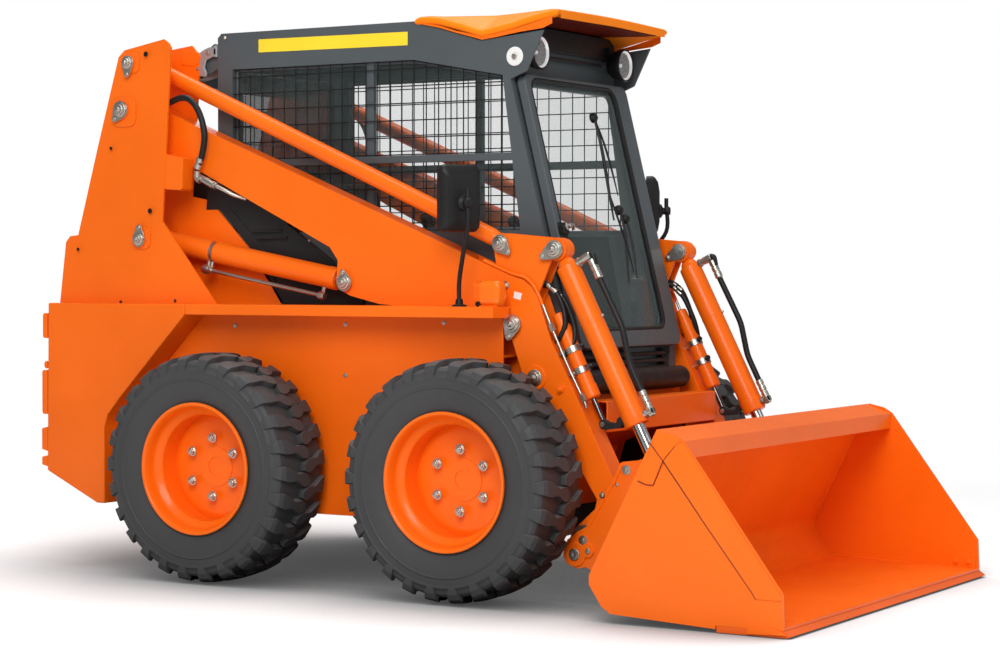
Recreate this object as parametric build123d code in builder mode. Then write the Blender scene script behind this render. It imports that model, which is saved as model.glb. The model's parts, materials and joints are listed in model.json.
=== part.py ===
"""Skid steer loader, built as separate pieces in one frame.

Millimetres. +X is forward (the bucket), +Y is the machine's left, +Z is up and the ground is z = 0.
The origin lies on the ground under the middle of the machine. Side-view points are given from the
rear axle by side(x, z).
"""
import os
from math import atan2, cos, degrees, hypot, radians, sin

from build123d import *

os.makedirs("parts", exist_ok=True)

# ---------------------------------------------------------------- driving sizes
rear_axle_x = -692.5
wheelbase = 985.0
wheel_y = 640.0          # tyre mid-plane from the centre line
tyre_r = 386.5
tyre_half_w = 132.0
tread_half_w = 108.0
bead_r = 209.5
flange_r = 222.5
rim_half_w = 120.0
rim_wall = 7.0
well_r = 185.0
disc_x = 13.0            # outer face of the wheel disc from the tyre mid-plane
disc_t = 10.0
hub_r = 68.0
hub_depth = 75.0
shaft_r = 30.0

sheet = 6.0              # body plates
plate = 10.0             # arm plates
gap = 0.3                # running fit at pins and seats
clear = 6.0              # room beside moving pieces

body_half_w = 487.0      # outer face of the wheel-side walls
box_half_w = 600.0       # outer face of the side boxes and fenders
inner_wall_y = 386.0     # outer face of the walls beside the cab
cab_half_w = 375.0
ledge_z = 934.0
ledge_lip = 36.0
belly_z = 230.0
belly_front = wheelbase - 80
tub_front = wheelbase + 58
ledge_front = tub_front + 29
engine_foot = 300.0

arm_y = 433.0            # mid-plane of each arm
arm_w = 84.0
tower_out_y = 540.0
tower_in_y = 385.0
tower_t = 8.0

bucket_half_w = 815.0
bucket_t = 8.0
bucket_side_t = 10.0

pin_r = 20.0
pin_head_r = 27.0
pin_head_t = 12.0

# pivots of the arm linkage, seen from the side: (x from the rear axle, z)
arm_pivot = (-482.0, 1611.0)
link_pivot = (-449.0, 1774.0)
lift_base = (-401.0, 1158.0)
lift_eye = (425.0, 1009.0)
lever_pivot = (1077.0, 878.0)
lever_link = (1023.0, 1136.0)
lever_tilt = (1223.0, 1116.0)
hitch_pivot = (1341.0, 200.0)
tilt_eye = (1572.0, 430.0)

lift_od = 75.0
lift_rod = 45.0
lift_barrel_end = 780.0
tilt_od = 76.0
tilt_rod = 40.0
tilt_barrel_end = 620.0
link_od = 56.0
eye_r = 34.0
tilt_eye_r = 26.0
tilt_pin_r = 15.0
bush_r = 27.0
hitch_pin_r = 22.0
hitch_bush_r = 29.0
sides = (-1, 1)


def side(x, z):
    """A side-view point, from the rear axle and the ground."""
    return (x + rear_axle_x, z)


def outline(*points):
    """A chain of side-view points in the machine's own frame."""
    return [side(x, z) for x, z in points]


def side_plane(y):
    """The side-view plane at one y: local x is forward, local y is up."""
    return Plane(origin=(0, y, 0), x_dir=(1, 0, 0), z_dir=(0, -1, 0))


def front_plane(x):
    """The front-view plane at one x: local x is to the left, local y is up."""
    return Plane(origin=(x, 0, 0), x_dir=(0, 1, 0), z_dir=(1, 0, 0))


def wheel_plane(x, y_sign):
    """A half-section plane through a wheel's axis: local x is outward, local y is the radius."""
    return Plane(origin=(x, y_sign * wheel_y, tyre_r), x_dir=(0, y_sign, 0), z_dir=(y_sign, 0, 0))


def along(start, end, y):
    """A plane at start whose z axis points to end, both side-view points."""
    sx, sz = side(*start)
    ex, ez = side(*end)
    return Plane(origin=(sx, y, sz), x_dir=(0, 1, 0), z_dir=(ex - sx, 0, ez - sz))


def save(builder, name):
    builder.part.label = name
    export_step(builder.part, f"parts/{name}.step")


# ---------------------------------------------------------------- wheels
axle_xs = {"rear": rear_axle_x, "front": rear_axle_x + wheelbase}
for end, axle_x in axle_xs.items():
    for hand, s in (("right", -1), ("left", 1)):
        axis = Axis((axle_x, s * wheel_y, tyre_r), (0, 1, 0))
        with BuildPart() as tyre:
            with BuildSketch(wheel_plane(axle_x, s)):
                with BuildLine():
                    Polyline((-rim_half_w + 18, bead_r + gap), (rim_half_w - 18, bead_r + gap))
                    Line((rim_half_w - 18, bead_r + gap), (rim_half_w - 16, flange_r + 4))
                    ThreePointArc((rim_half_w - 16, flange_r + 4), (tyre_half_w, 300), (tread_half_w + 4, tyre_r - 16))
                    Line((tread_half_w + 4, tyre_r - 16), (tread_half_w - 12, tyre_r - 3))
                    ThreePointArc((tread_half_w - 12, tyre_r - 3), (0, tyre_r), (12 - tread_half_w, tyre_r - 3))
                    Line((12 - tread_half_w, tyre_r - 3), (-tread_half_w - 4, tyre_r - 16))
                    ThreePointArc((-tread_half_w - 4, tyre_r - 16), (-tyre_half_w, 300), (16 - rim_half_w, flange_r + 4))
                    Line((16 - rim_half_w, flange_r + 4), (18 - rim_half_w, bead_r + gap))
                make_face()
            revolve(axis=axis)
        save(tyre, f"tyre_{end}_{hand}")

        with BuildPart() as rim:
            with BuildSketch(wheel_plane(axle_x, s)):
                # barrel with its two flanges and the drop centre
                Polygon(
                    (rim_half_w, flange_r), (rim_half_w - 10, flange_r), (rim_half_w - 12, bead_r),
                    (rim_half_w - 42, bead_r), (rim_half_w - 60, well_r), (-rim_half_w + 60, well_r),
                    (-rim_half_w + 42, bead_r), (-rim_half_w + 12, bead_r), (-rim_half_w + 10, flange_r),
                    (-rim_half_w, flange_r), (-rim_half_w, bead_r - rim_wall),
                    (-rim_half_w + 42, bead_r - rim_wall), (-rim_half_w + 60, well_r - rim_wall),
                    (rim_half_w - 60, well_r - rim_wall), (rim_half_w - 42, bead_r - rim_wall),
                    (rim_half_w, bead_r - rim_wall), align=None,
                )
                # dished disc and the hub behind it
                Polygon(
                    (disc_x, 0), (disc_x, 132), (disc_x - 10, 150), (disc_x - 34, well_r - rim_wall + 1),
                    (disc_x - 44, well_r - rim_wall + 1), (disc_x - 20, 146), (disc_x - disc_t, 130),
                    (disc_x - disc_t, hub_r), (-hub_depth, hub_r), (-hub_depth, shaft_r + gap),
                    (disc_x - 2 * disc_t, shaft_r + gap), (disc_x - 2 * disc_t, 0), align=None,
                )
            revolve(axis=axis)
        save(rim, f"wheel_rim_{end}_{hand}")

with BuildPart() as axles:
    for axle_x in axle_xs.values():
        for s in sides:
            with BuildSketch(Plane(origin=(axle_x, s * body_half_w, tyre_r), x_dir=(1, 0, 0), z_dir=(0, s, 0))):
                Circle(82)
            extrude(amount=14)
            with BuildSketch(Plane(origin=(axle_x, s * body_half_w, tyre_r), x_dir=(1, 0, 0), z_dir=(0, s, 0))):
                Circle(62)
            extrude(amount=wheel_y - hub_depth - clear - body_half_w)
            with BuildSketch(Plane(origin=(axle_x, s * body_half_w, tyre_r), x_dir=(1, 0, 0), z_dir=(0, s, 0))):
                Circle(shaft_r)
            extrude(amount=wheel_y + disc_x - 2 * disc_t - 1 - body_half_w)
save(axles, "axle_housings")

# ---------------------------------------------------------------- chassis tub
tub_side = outline(
    (-745, 930), (-745, 345), (-540, belly_z), (belly_front, belly_z), (tub_front, 700), (tub_front, 930),
)
cheek_side = outline(
    (-215, 930), (-215, 560), (900, 400), (1180, 520), (1236, 560), (1236, 655), (1200, 775),
    (1178, 905), (1120, 930),
)
with BuildPart() as main_frame:
    for s in sides:
        with BuildSketch(side_plane(s * (body_half_w - sheet / 2))):
            Polygon(*tub_side, align=None)
        extrude(amount=sheet / 2, both=True)
        with BuildSketch(side_plane(s * (inner_wall_y - sheet / 2))):
            Polygon(*cheek_side, align=None)
        extrude(amount=sheet / 2, both=True)
        # floor of the slot in which the arm rests
        with BuildSketch(side_plane(s * (body_half_w + inner_wall_y - sheet) / 2)):
            Polygon(*outline((-215, 770), (tub_front, 770), (tub_front, 776), (-215, 776)), align=None)
        extrude(amount=(body_half_w - inner_wall_y) / 2, both=True)
    with BuildSketch(side_plane(0)):
        # rear sill, belly pan and front slope, one bent sheet
        Polygon(
            *outline(
                (-745, 345), (-540, belly_z), (belly_front, belly_z), (1000, 440), (1180, 520), (1236, 560),
                (1233, 566), (1176, 526), (994, 446), (belly_front - 4, belly_z + 8), (-538, belly_z + 8), (-739, 351),
            ),
            align=None,
        )
    extrude(amount=inner_wall_y - sheet / 2, both=True)
    with BuildSketch(side_plane(0)):
        Polygon(*outline((-739, 351), (-745, 345), (-540, belly_z), (belly_front, belly_z), (belly_front - 4, belly_z + 8),
                         (-538, belly_z + 8)), align=None)
    extrude(amount=body_half_w - sheet / 2, both=True)
    with BuildSketch(side_plane(0)):
        # cab floor, foot well front and the wall between cab and engine
        Polygon(*outline((-209, 640), (1236, 640), (1236, 648), (-209, 648)), align=None)
        Polygon(*outline((1228, 560), (1236, 560), (1236, 648), (1228, 648)), align=None)
        Polygon(*outline((-215, 545), (-207, 545), (-207, 925), (-215, 925)), align=None)
    extrude(amount=inner_wall_y - sheet / 2, both=True)
    # feet of the engine
    with Locations((rear_axle_x - 450, 0, belly_z + 4)):
        with GridLocations(250, 440, 2, 2):
            Box(60, 60, engine_foot - belly_z - 4, align=(Align.CENTER, Align.CENTER, Align.MIN))
save(main_frame, "main_frame")

with BuildPart() as side_boxes:
    box_y = (body_half_w + gap + box_half_w) / 2
    box_w = box_half_w - body_half_w - gap
    box_side = outline(
        (-778, ledge_z), (-785, 337), (-556, 232), (-521, 232), (-521, 500), (-505, 545),
        (-450, 606), (-163, 897), (-163, ledge_z),
    )
    box_hollow = outline(
        (-770, ledge_z - 6), (-777, 342), (-554, 239), (-528, 239), (-528, 500), (-511, 550),
        (-455, 611), (-170, 901), (-170, ledge_z - 6),
    )
    for s in sides:
        with BuildSketch(side_plane(s * box_y)):
            Polygon(*box_side, align=None)
        extrude(amount=box_w / 2, both=True)
        with BuildSketch(side_plane(s * box_y)):
            Polygon(*box_hollow, align=None)
        extrude(amount=box_w / 2 - sheet, both=True, mode=Mode.SUBTRACT)
save(side_boxes, "side_boxes")

with BuildPart() as fenders:
    for s in sides:
        with BuildSketch(side_plane(s * box_y)):
            Polygon(*outline((-161, ledge_z - sheet), (ledge_front, ledge_z - sheet), (ledge_front, ledge_z), (-161, ledge_z)),
                    align=None)
        extrude(amount=box_w / 2, both=True)
        with BuildSketch(side_plane(s * (box_half_w - sheet / 2))):
            Polygon(*outline((-161, ledge_z - ledge_lip), (ledge_front, ledge_z - ledge_lip), (ledge_front, ledge_z),
                             (-161, ledge_z)), align=None)
        extrude(amount=sheet / 2, both=True)
        with BuildSketch(side_plane(s * (box_half_w - 50))):
            Polygon(*outline((ledge_front - sheet, ledge_z - ledge_lip), (ledge_front, ledge_z - ledge_lip), (ledge_front, ledge_z),
                             (ledge_front - sheet, ledge_z)), align=None)
        extrude(amount=50, both=True)
save(fenders, "fenders")

# ---------------------------------------------------------------- towers
tower_outer = outline(
    (-775, ledge_z), (-746, 1150), (-727, 1171), (-689, 1175), (-599, 1478), (-501, 1797), (-474, 1820),
    (-299, 1850), (-277, 1835), (-268, 1821), (-307, 1220), (-73, ledge_z),
)
tower_inner = outline(
    (-745, ledge_z - 4), (-735, 1150), (-680, 1172), (-501, 1797), (-474, 1820), (-299, 1840), (-262, 1800),
    (-300, 1310), (-217, 1294), (-43, 1119), (89, ledge_z), (89, ledge_z - 4),
)
tower_pins = (
    # pivot, radius of the pin, radius of its boss
    (arm_pivot, 25.0, 46.0),
    (link_pivot, 18.0, 34.0),
    (lift_base, pin_r, 40.0),
)
with BuildPart() as towers:
    for s in sides:
        with BuildSketch(side_plane(s * (tower_out_y - tower_t / 2))):
            Polygon(*tower_outer, align=None)
        extrude(amount=tower_t / 2, both=True)
        with BuildSketch(side_plane(s * (tower_in_y - tower_t / 2))):
            Polygon(*tower_inner, align=None)
        extrude(amount=tower_t / 2, both=True)
        for pivot, r, boss_r in tower_pins:
            # boss that fills the room between outer plate and arm
            with Locations(side_plane(s * (arm_y + arm_w / 2 + clear)).location):
                with Locations(side(*pivot)):
                    Cylinder(boss_r, tower_out_y - arm_y - arm_w / 2 - clear,
                             align=(Align.CENTER, Align.CENTER, Align.MAX if s > 0 else Align.MIN))
            with Locations(side_plane(s * (tower_in_y + tower_out_y - tower_t) / 2).location):
                with Locations(side(*pivot)):
                    Cylinder(r, tower_out_y - tower_in_y + tower_t)
            with Locations(side_plane(s * (tower_out_y + pin_head_t / 2)).location):
                with Locations(side(*pivot)):
                    Cylinder(r + 8, pin_head_t)
        # rear closing plate between the two plates, below the arm
        with BuildSketch(side_plane(s * (tower_in_y + tower_out_y - tower_t) / 2)):
            Polygon(*outline((-772, ledge_z + 2), (-762, ledge_z + 2), (-730, 1150), (-740, 1150)), align=None)
        extrude(amount=(tower_out_y - tower_in_y) / 2, both=True)
save(towers, "towers")

# hose from each tower's outer plate down to the boom
tower_hose_y = 506.0
tower_hose_r = 11.0
tower_hose_bend = 52.0
tower_hose_route = ((-301.0, 1632.0), (-226.0, 1662.0), (-138.0, 1520.0), (-180.0, 1399.0))
with BuildPart() as tower_hoses:
    for s in sides:
        with BuildLine(side_plane(s * tower_hose_y)) as route:
            FilletPolyline(*outline(*tower_hose_route), radius=tower_hose_bend)
        with BuildSketch(Plane(origin=route.line @ 0, z_dir=route.line % 0)):
            Circle(tower_hose_r)
        sweep(path=route.line)
        # elbow on the plate's inner face
        with BuildSketch(side_plane(s * (tower_out_y - tower_t - gap))):
            with Locations(side(*tower_hose_route[0])):
                Circle(tower_hose_r + 3)
        extrude(amount=s * (tower_out_y - tower_t - gap - tower_hose_y))
save(tower_hoses, "tower_hoses")

with BuildPart() as tower_bridge:
    with BuildSketch(side_plane(0)):
        Polygon(*outline((-400, 1700), (-320, 1700), (-320, 1780), (-400, 1780)), align=None)
    extrude(amount=tower_in_y - tower_t, both=True)
    for s in sides:
        with BuildSketch(side_plane(s * 335)):
            Polygon(*outline((-320, 1715), (-250, 1730), (-191, 1760), (-191, 1840), (-215, 1845), (-320, 1775)),
                    align=None)
        extrude(amount=30, both=True)
save(tower_bridge, "tower_bridge")

# ---------------------------------------------------------------- engine bay
with BuildPart() as engine:
    with BuildSketch(side_plane(0)):
        Polygon(*outline((-640, engine_foot), (-260, engine_foot), (-260, 880), (-640, 880)), align=None)
    extrude(amount=290, both=True)
save(engine, "engine_block")

hood_half_w = tower_in_y - tower_t
with BuildPart() as hood:
    with BuildSketch(side_plane(0)):
        Polygon(
            *outline(
                (-744, 1020), (-735, 1150), (-680, 1190), (-300, 1292), (-205, 1292), (-205, 1286),
                (-299, 1286), (-677, 1184), (-729, 1146), (-738, 1020),
            ),
            align=None,
        )
    extrude(amount=hood_half_w - gap, both=True)
save(hood, "engine_hood")

with BuildPart() as rear_frame:
    with BuildSketch(front_plane(-785 + rear_axle_x)):
        with Locations((0, (ledge_z - 6 + 345) / 2)):
            Rectangle(2 * (body_half_w - sheet), ledge_z - 6 - 345)
        with Locations((0, (910 + 400) / 2)):
            Rectangle(860, 510, mode=Mode.SUBTRACT)
    extrude(amount=785 - 745 - gap)
save(rear_frame, "rear_frame")

rear_door_x = -791.0
rear_door_t = 12.0
rear_hinge_x = -800.0
rear_hinge_y = -441.0
knuckle_r = 9.0
knuckle_len = 30.0
hinge_pin_r = 4.0
rear_hinge_zs = (490.0, 645.0, 860.0)
with BuildPart() as rear_door:
    with BuildSketch(front_plane(rear_door_x + rear_axle_x)):
        with Locations((0, 655)):
            RectangleRounded(848, 498, 30)
    extrude(amount=rear_door_t)
    # louvre openings
    with BuildSketch(front_plane(rear_door_x + rear_axle_x - 1)):
        with Locations((0, 690)):
            with GridLocations(0, 44, 1, 8):
                SlotOverall(560, 18)
    extrude(amount=rear_door_t + 2, mode=Mode.SUBTRACT)
    # middle knuckle and leaf of each hinge
    for z in rear_hinge_zs:
        with Locations((rear_hinge_x + rear_axle_x, rear_hinge_y, z)):
            Cylinder(knuckle_r, knuckle_len)
        with Locations((rear_hinge_x + rear_axle_x, rear_hinge_y, z)):
            Box(knuckle_r, 50, knuckle_len, align=(Align.MIN, Align.MIN, Align.CENTER))
        with Locations((rear_hinge_x + rear_axle_x, rear_hinge_y, z)):
            Cylinder(hinge_pin_r + gap, knuckle_len, mode=Mode.SUBTRACT)
save(rear_door, "rear_door")

with BuildPart() as rear_hinges:
    for z in rear_hinge_zs:
        for s in sides:
            with Locations((rear_hinge_x + rear_axle_x, rear_hinge_y, z + s * (knuckle_len + 1))):
                Cylinder(knuckle_r, knuckle_len)
                Box(-785 - gap - rear_hinge_x, 12, knuckle_len, align=(Align.MIN, Align.CENTER, Align.CENTER))
        with Locations((rear_hinge_x + rear_axle_x, rear_hinge_y, z)):
            Cylinder(hinge_pin_r, 2.4 * knuckle_len)
save(rear_hinges, "rear_door_hinges")

# ---------------------------------------------------------------- cab
door_half_w = 352.0
door_lap = 22.0          # lap of the door over the cab's face on each side
front_lean = 0.2514      # metres back for each metre up, of the cab's front


def cab_front(z):
    """x of the cab's front plane at one height, from the rear axle."""
    return 1228 - front_lean * (z - 773)


cab_side = outline(
    (-191, 655), (-191, 1862), (-176, 1877), (630, 1877), (888, 1802), (985, 1790), (985, 1700),
    (cab_front(1680), 1680), (cab_front(790), 790), (cab_front(790), 655),
)
window_side = outline(
    (-127, 1180), (-127, 1750), (623, 1750), (972, 1685), (1040, 1181),
)
rear_window_z = 1560.0
rear_window_w = 560.0
rear_window_h = 380.0
with BuildPart() as cab:
    with BuildSketch(side_plane(0)):
        Polygon(*cab_side, align=None)
    extrude(amount=cab_half_w, both=True)
    # hollow, open below
    with BuildSketch(side_plane(0)):
        Polygon(
            *outline(
                (-151, 600), (-151, 1837), (626, 1837), (878, 1762), (945, 1755), (945, 1700),
                (cab_front(1680) - 45, 1680), (cab_front(790) - 45, 790), (cab_front(790) - 45, 600),
            ),
            align=None,
        )
    extrude(amount=cab_half_w - 40, both=True, mode=Mode.SUBTRACT)
    # side brackets that carry the visor
    for s in sides:
        with BuildSketch(side_plane(s * (cab_half_w - 4))):
            Polygon(*outline((880, 1800), (1125, 1823), (1062, 1695), (1000, 1670), (900, 1690)), align=None)
        extrude(amount=4, both=True)
        # bosses of the work lights
        with BuildSketch(front_plane(rear_axle_x + 980)):
            with Locations((s * 291, 1761)):
                Circle(20)
        extrude(amount=27)
    # side windows
    with BuildSketch(side_plane(0)):
        Polygon(*window_side, align=None)
    extrude(amount=cab_half_w + 5, both=True, mode=Mode.SUBTRACT)
    # doorway
    with BuildSketch(front_plane(rear_axle_x + 700)):
        with Locations((0, (660 + 1655) / 2)):
            RectangleRounded(2 * (door_half_w - door_lap), 1655 - 660, 30)
    extrude(amount=700, mode=Mode.SUBTRACT)
    # rear window
    with BuildSketch(front_plane(rear_axle_x - 300)):
        with Locations((0, rear_window_z)):
            RectangleRounded(rear_window_w, rear_window_h, 40)
    extrude(amount=200, mode=Mode.SUBTRACT)
save(cab, "cab_frame")

glass_t = 5.0
with BuildPart() as cab_glass:
    for s in sides:
        with BuildSketch(side_plane(s * (cab_half_w - 25))):
            Polygon(*window_side, align=None)
            offset(amount=-gap, mode=Mode.REPLACE)
        extrude(amount=glass_t / 2, both=True)
    with BuildSketch(front_plane(rear_axle_x - 175)):
        with Locations((0, rear_window_z)):
            RectangleRounded(rear_window_w - 2 * gap, rear_window_h - 2 * gap, 40)
    extrude(amount=glass_t)
save(cab_glass, "cab_windows")

with BuildPart() as side_panels:
    for s in sides:
        with BuildSketch(side_plane(s * (cab_half_w + gap + 4))):
            Polygon(*outline((94, ledge_z), (-34, 1119), (-180, 1270), (20, 1270), (430, 1000), (430, ledge_z)),
                    align=None)
        extrude(amount=4, both=True)
save(side_panels, "side_panels")

visor_t = 8.0
visor_half_w = cab_half_w + gap + visor_t
with BuildPart() as visor:
    with BuildSketch(side_plane(0)):
        Polygon(*outline((632, 1879), (1175, 1884), (1175, 1896), (900, 1892), (632, 1888)), align=None)
    extrude(amount=visor_half_w, both=True)
    # side skirts against the cab's walls, and the front lip
    for s in sides:
        with BuildSketch(side_plane(s * (visor_half_w - visor_t / 2))):
            Polygon(*outline((632, 1884), (888, 1802), (1175, 1884)), align=None)
        extrude(amount=visor_t / 2, both=True)
    with BuildSketch(side_plane(0)):
        Polygon(*outline((1163, 1850), (1175, 1850), (1175, 1896), (1163, 1896)), align=None)
    extrude(amount=visor_half_w, both=True)
save(visor, "roof_visor")

light_r = 57.0
with BuildPart() as work_lights:
    for y in (-291, 291):
        with Locations((rear_axle_x + 1040, y, 1761)):
            Cylinder(light_r, 66, rotation=(0, 90, 0))
save(work_lights, "work_lights")

# seat
with BuildPart() as seat_base:
    with Locations((rear_axle_x + 330, 0, 648)):
        Box(420, 420, 150, align=(Align.CENTER, Align.CENTER, Align.MIN))
    # stay of the backrest
    with BuildSketch(side_plane(0)):
        Polygon(*outline((60, 648), (125, 648), (125, 780), (98, 798), (92, 905), (52, 1080), (38, 1080),
                         (60, 905)), align=None)
    extrude(amount=60, both=True)
save(seat_base, "seat_base")
with BuildPart() as seat_cushion:
    with Locations((rear_axle_x + 340, 0, 798 + gap)):
        Box(470, 470, 110, align=(Align.CENTER, Align.CENTER, Align.MIN))
    fillet(seat_cushion.edges().filter_by(Axis.Z), 60)
save(seat_cushion, "seat_cushion")
with BuildPart() as seat_back:
    with BuildSketch(side_plane(0)):
        Polygon(*outline((96, 908.6), (196, 908.6), (90, 1400), (0, 1400)), align=None)
    extrude(amount=225, both=True)
save(seat_back, "seat_back")
with BuildPart() as consoles:
    for s in sides:
        with Locations((rear_axle_x + 560, s * 290, 648)):
            Box(300, 80, 330, align=(Align.CENTER, Align.CENTER, Align.MIN))
save(consoles, "arm_consoles")
with BuildPart() as levers_hand:
    for s in sides:
        with Locations((rear_axle_x + 660, s * 290, 978)):
            Cylinder(9, 200, align=(Align.CENTER, Align.CENTER, Align.MIN))
        with Locations((rear_axle_x + 660, s * 290, 1178)):
            Sphere(26)
save(levers_hand, "control_levers")

# door: a raked frame with glass
door_top = 1652.0
door_bottom = 790.0
door_gap = 4.0          # between the door and the face of the cab
lean_angle = degrees(atan2(front_lean, 1))
door_foot = (cab_front(door_bottom) + door_gap, door_bottom)
door_len = (door_top - door_bottom) / cos(radians(lean_angle))
door_plane = Plane(
    origin=(side(*door_foot)[0], 0, door_foot[1]), x_dir=(0, 1, 0),
    z_dir=(cos(radians(lean_angle)), 0, sin(radians(lean_angle))),
)
door_t = 30.0
pane_edge = 62.0
hinge_off = 14.0
hinge_y = door_half_w + 12
hinge_leaf = hinge_off + door_gap * cos(radians(lean_angle)) - gap
door_hinge_ups = (130.0, 480.0, 780.0)
door_axis_plane = Plane(
    origin=door_plane.from_local_coords((hinge_y, 0, hinge_off)), x_dir=(0, 1, 0),
    z_dir=(-sin(radians(lean_angle)), 0, cos(radians(lean_angle))),
)
with BuildPart() as door_frame:
    with BuildSketch(door_plane):
        with Locations((0, door_len / 2)):
            RectangleRounded(2 * door_half_w, door_len, 40)
        with Locations((0, door_len / 2 + 10)):
            RectangleRounded(2 * (door_half_w - pane_edge), door_len - 2 * pane_edge, 40, mode=Mode.SUBTRACT)
    extrude(amount=door_t)
    # middle knuckle and leaf of each hinge
    for up in door_hinge_ups:
        with BuildSketch(door_axis_plane.offset(up)):
            Circle(knuckle_r)
            with Locations((-knuckle_r, 0)):
                Rectangle(2 * knuckle_r, 10)
        extrude(amount=knuckle_len / 2, both=True)
        with BuildSketch(door_axis_plane.offset(up)):
            Circle(hinge_pin_r + gap)
        extrude(amount=knuckle_len / 2, both=True, mode=Mode.SUBTRACT)
save(door_frame, "door_frame")
with BuildPart() as door_glass:
    with BuildSketch(door_plane.offset(door_t / 2)):
        with Locations((0, door_len / 2 + 10)):
            RectangleRounded(2 * (door_half_w - pane_edge - gap), door_len - 2 * pane_edge - 2 * gap, 40)
    extrude(amount=glass_t)
save(door_glass, "door_glass")
with BuildPart() as door_handle:
    with BuildSketch(door_plane.offset(door_t)):
        with Locations((-door_half_w + 30, 400)):
            Rectangle(36, 120)
    extrude(amount=26)
save(door_handle, "door_handle")
with BuildPart() as door_hinges:
    for up in door_hinge_ups:
        for s in sides:
            with BuildSketch(door_axis_plane.offset(up + s * (knuckle_len + 1))):
                Circle(knuckle_r)
                # leaf back to the face of the cab
                with Locations((0, hinge_leaf / 2)):
                    Rectangle(14, hinge_leaf)
            extrude(amount=knuckle_len / 2, both=True)
        with BuildSketch(door_axis_plane.offset(up)):
            Circle(hinge_pin_r)
        extrude(amount=1.2 * knuckle_len, both=True)
save(door_hinges, "door_hinges")

# step roll in front of the door
roll_r = 38.0
with BuildPart() as step_roll:
    with Locations((rear_axle_x + 1262, 0, 686)):
        Cylinder(roll_r, 700, rotation=(90, 0, 0))
save(step_roll, "step_roll")

# mirrors
with BuildPart() as mirrors:
    for s in sides:
        with Locations((rear_axle_x + 925, s * 556, 1280)):
            Box(30, 140, 200)
        with Locations((rear_axle_x + 925, s * 556, ledge_z)):
            Cylinder(7, 255, align=(Align.CENTER, Align.CENTER, Align.MIN))
save(mirrors, "mirrors")

with BuildPart() as marker_lamps:
    for s in sides:
        with Locations((rear_axle_x + 1032, s * 550, ledge_z)):
            Box(95, 60, 86, align=(Align.CENTER, Align.CENTER, Align.MIN))
    fillet(marker_lamps.edges().filter_by(Axis.Y), 18)
save(marker_lamps, "marker_lamps")

# ---------------------------------------------------------------- arms
arm_outline = outline(
    (-500, 1666), (-331, 1599), (1058, 1035), (1111, 1019), (1141, 996), (1163, 964), (1211, 829),
    (1318, 626), (1438, 398), (1462, 330), (1440, 250), (1385, 168), (1341, 150), (1300, 165), (1291, 200),
    (1300, 235), (1372, 300), (1380, 330), (1314, 433), (1106, 722), (1069, 827), (1035, 897), (552, 939),
    (440, 965), (397, 985), (385, 1032), (389, 1083), (357, 1127), (25, 1285), (-345, 1466), (-440, 1545),
    (-525, 1600),
)
with BuildPart() as arms:
    for s in sides:
        with BuildSketch(side_plane(s * arm_y)):
            Polygon(*arm_outline, align=None)
            with Locations(side(*arm_pivot)):
                Circle(52)
        extrude(amount=arm_w / 2, both=True)
        # hollow of the boom
        with BuildSketch(side_plane(s * arm_y)):
            Polygon(*outline((-380, 1608), (270, 1340), (270, 1180), (20, 1300), (-335, 1475)), align=None)
        extrude(amount=arm_w / 2 - plate, both=True, mode=Mode.SUBTRACT)
        # pocket of the lift rod's eye, open below
        with BuildSketch(side_plane(s * arm_y)):
            Polygon(*outline((290, 1330), (700, 1168), (700, 900), (300, 900), (290, 1100)), align=None)
        extrude(amount=arm_w / 2 - plate, both=True, mode=Mode.SUBTRACT)
        # pocket of the levelling lever, open above
        with BuildSketch(side_plane(s * arm_y)):
            Polygon(*outline((900, 1150), (900, 940), (1020, 800), (1180, 800), (1300, 900), (1300, 1150)),
                    align=None)
        extrude(amount=arm_w / 2 - plate, both=True, mode=Mode.SUBTRACT)
        # hollow of the lower arm
        with BuildSketch(side_plane(s * arm_y)):
            Polygon(*outline((1120, 745), (1230, 765), (1420, 400), (1380, 345)), align=None)
        extrude(amount=arm_w / 2 - plate, both=True, mode=Mode.SUBTRACT)
        for pivot, r in ((arm_pivot, 25 + gap), (lever_pivot, 25.05), (hitch_pivot, hitch_bush_r + gap)):
            with BuildSketch(side_plane(s * arm_y)):
                with Locations(side(*pivot)):
                    Circle(r)
            extrude(amount=arm_w, both=True, mode=Mode.SUBTRACT)
save(arms, "arms")

arm_pin_places = (
    # pivot, radius of the pin, whether it goes right through
    (lever_pivot, 25.0, True),
    (lift_eye, pin_r, False),
)
with BuildPart() as arm_pins:
    for s in sides:
        for pivot, r, through in arm_pin_places:
            with Locations(side_plane(s * (arm_y + arm_w / 2 + pin_head_t / 2)).location):
                with Locations(side(*pivot)):
                    Cylinder(r + 3, pin_head_t)
            if through:
                with Locations(side_plane(s * arm_y).location):
                    with Locations(side(*pivot)):
                        Cylinder(r, arm_w)
save(arm_pins, "arm_pins")

cross_box = outline((1300, 536), (1372, 536), (1372, 636), (1300, 636))
with BuildPart() as crossmember:
    with BuildSketch(side_plane(0)):
        Polygon(*cross_box, align=None)
        offset(amount=-6, mode=Mode.SUBTRACT)
    extrude(amount=arm_y - arm_w / 2 - gap, both=True)
save(crossmember, "arm_crossmember")

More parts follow.
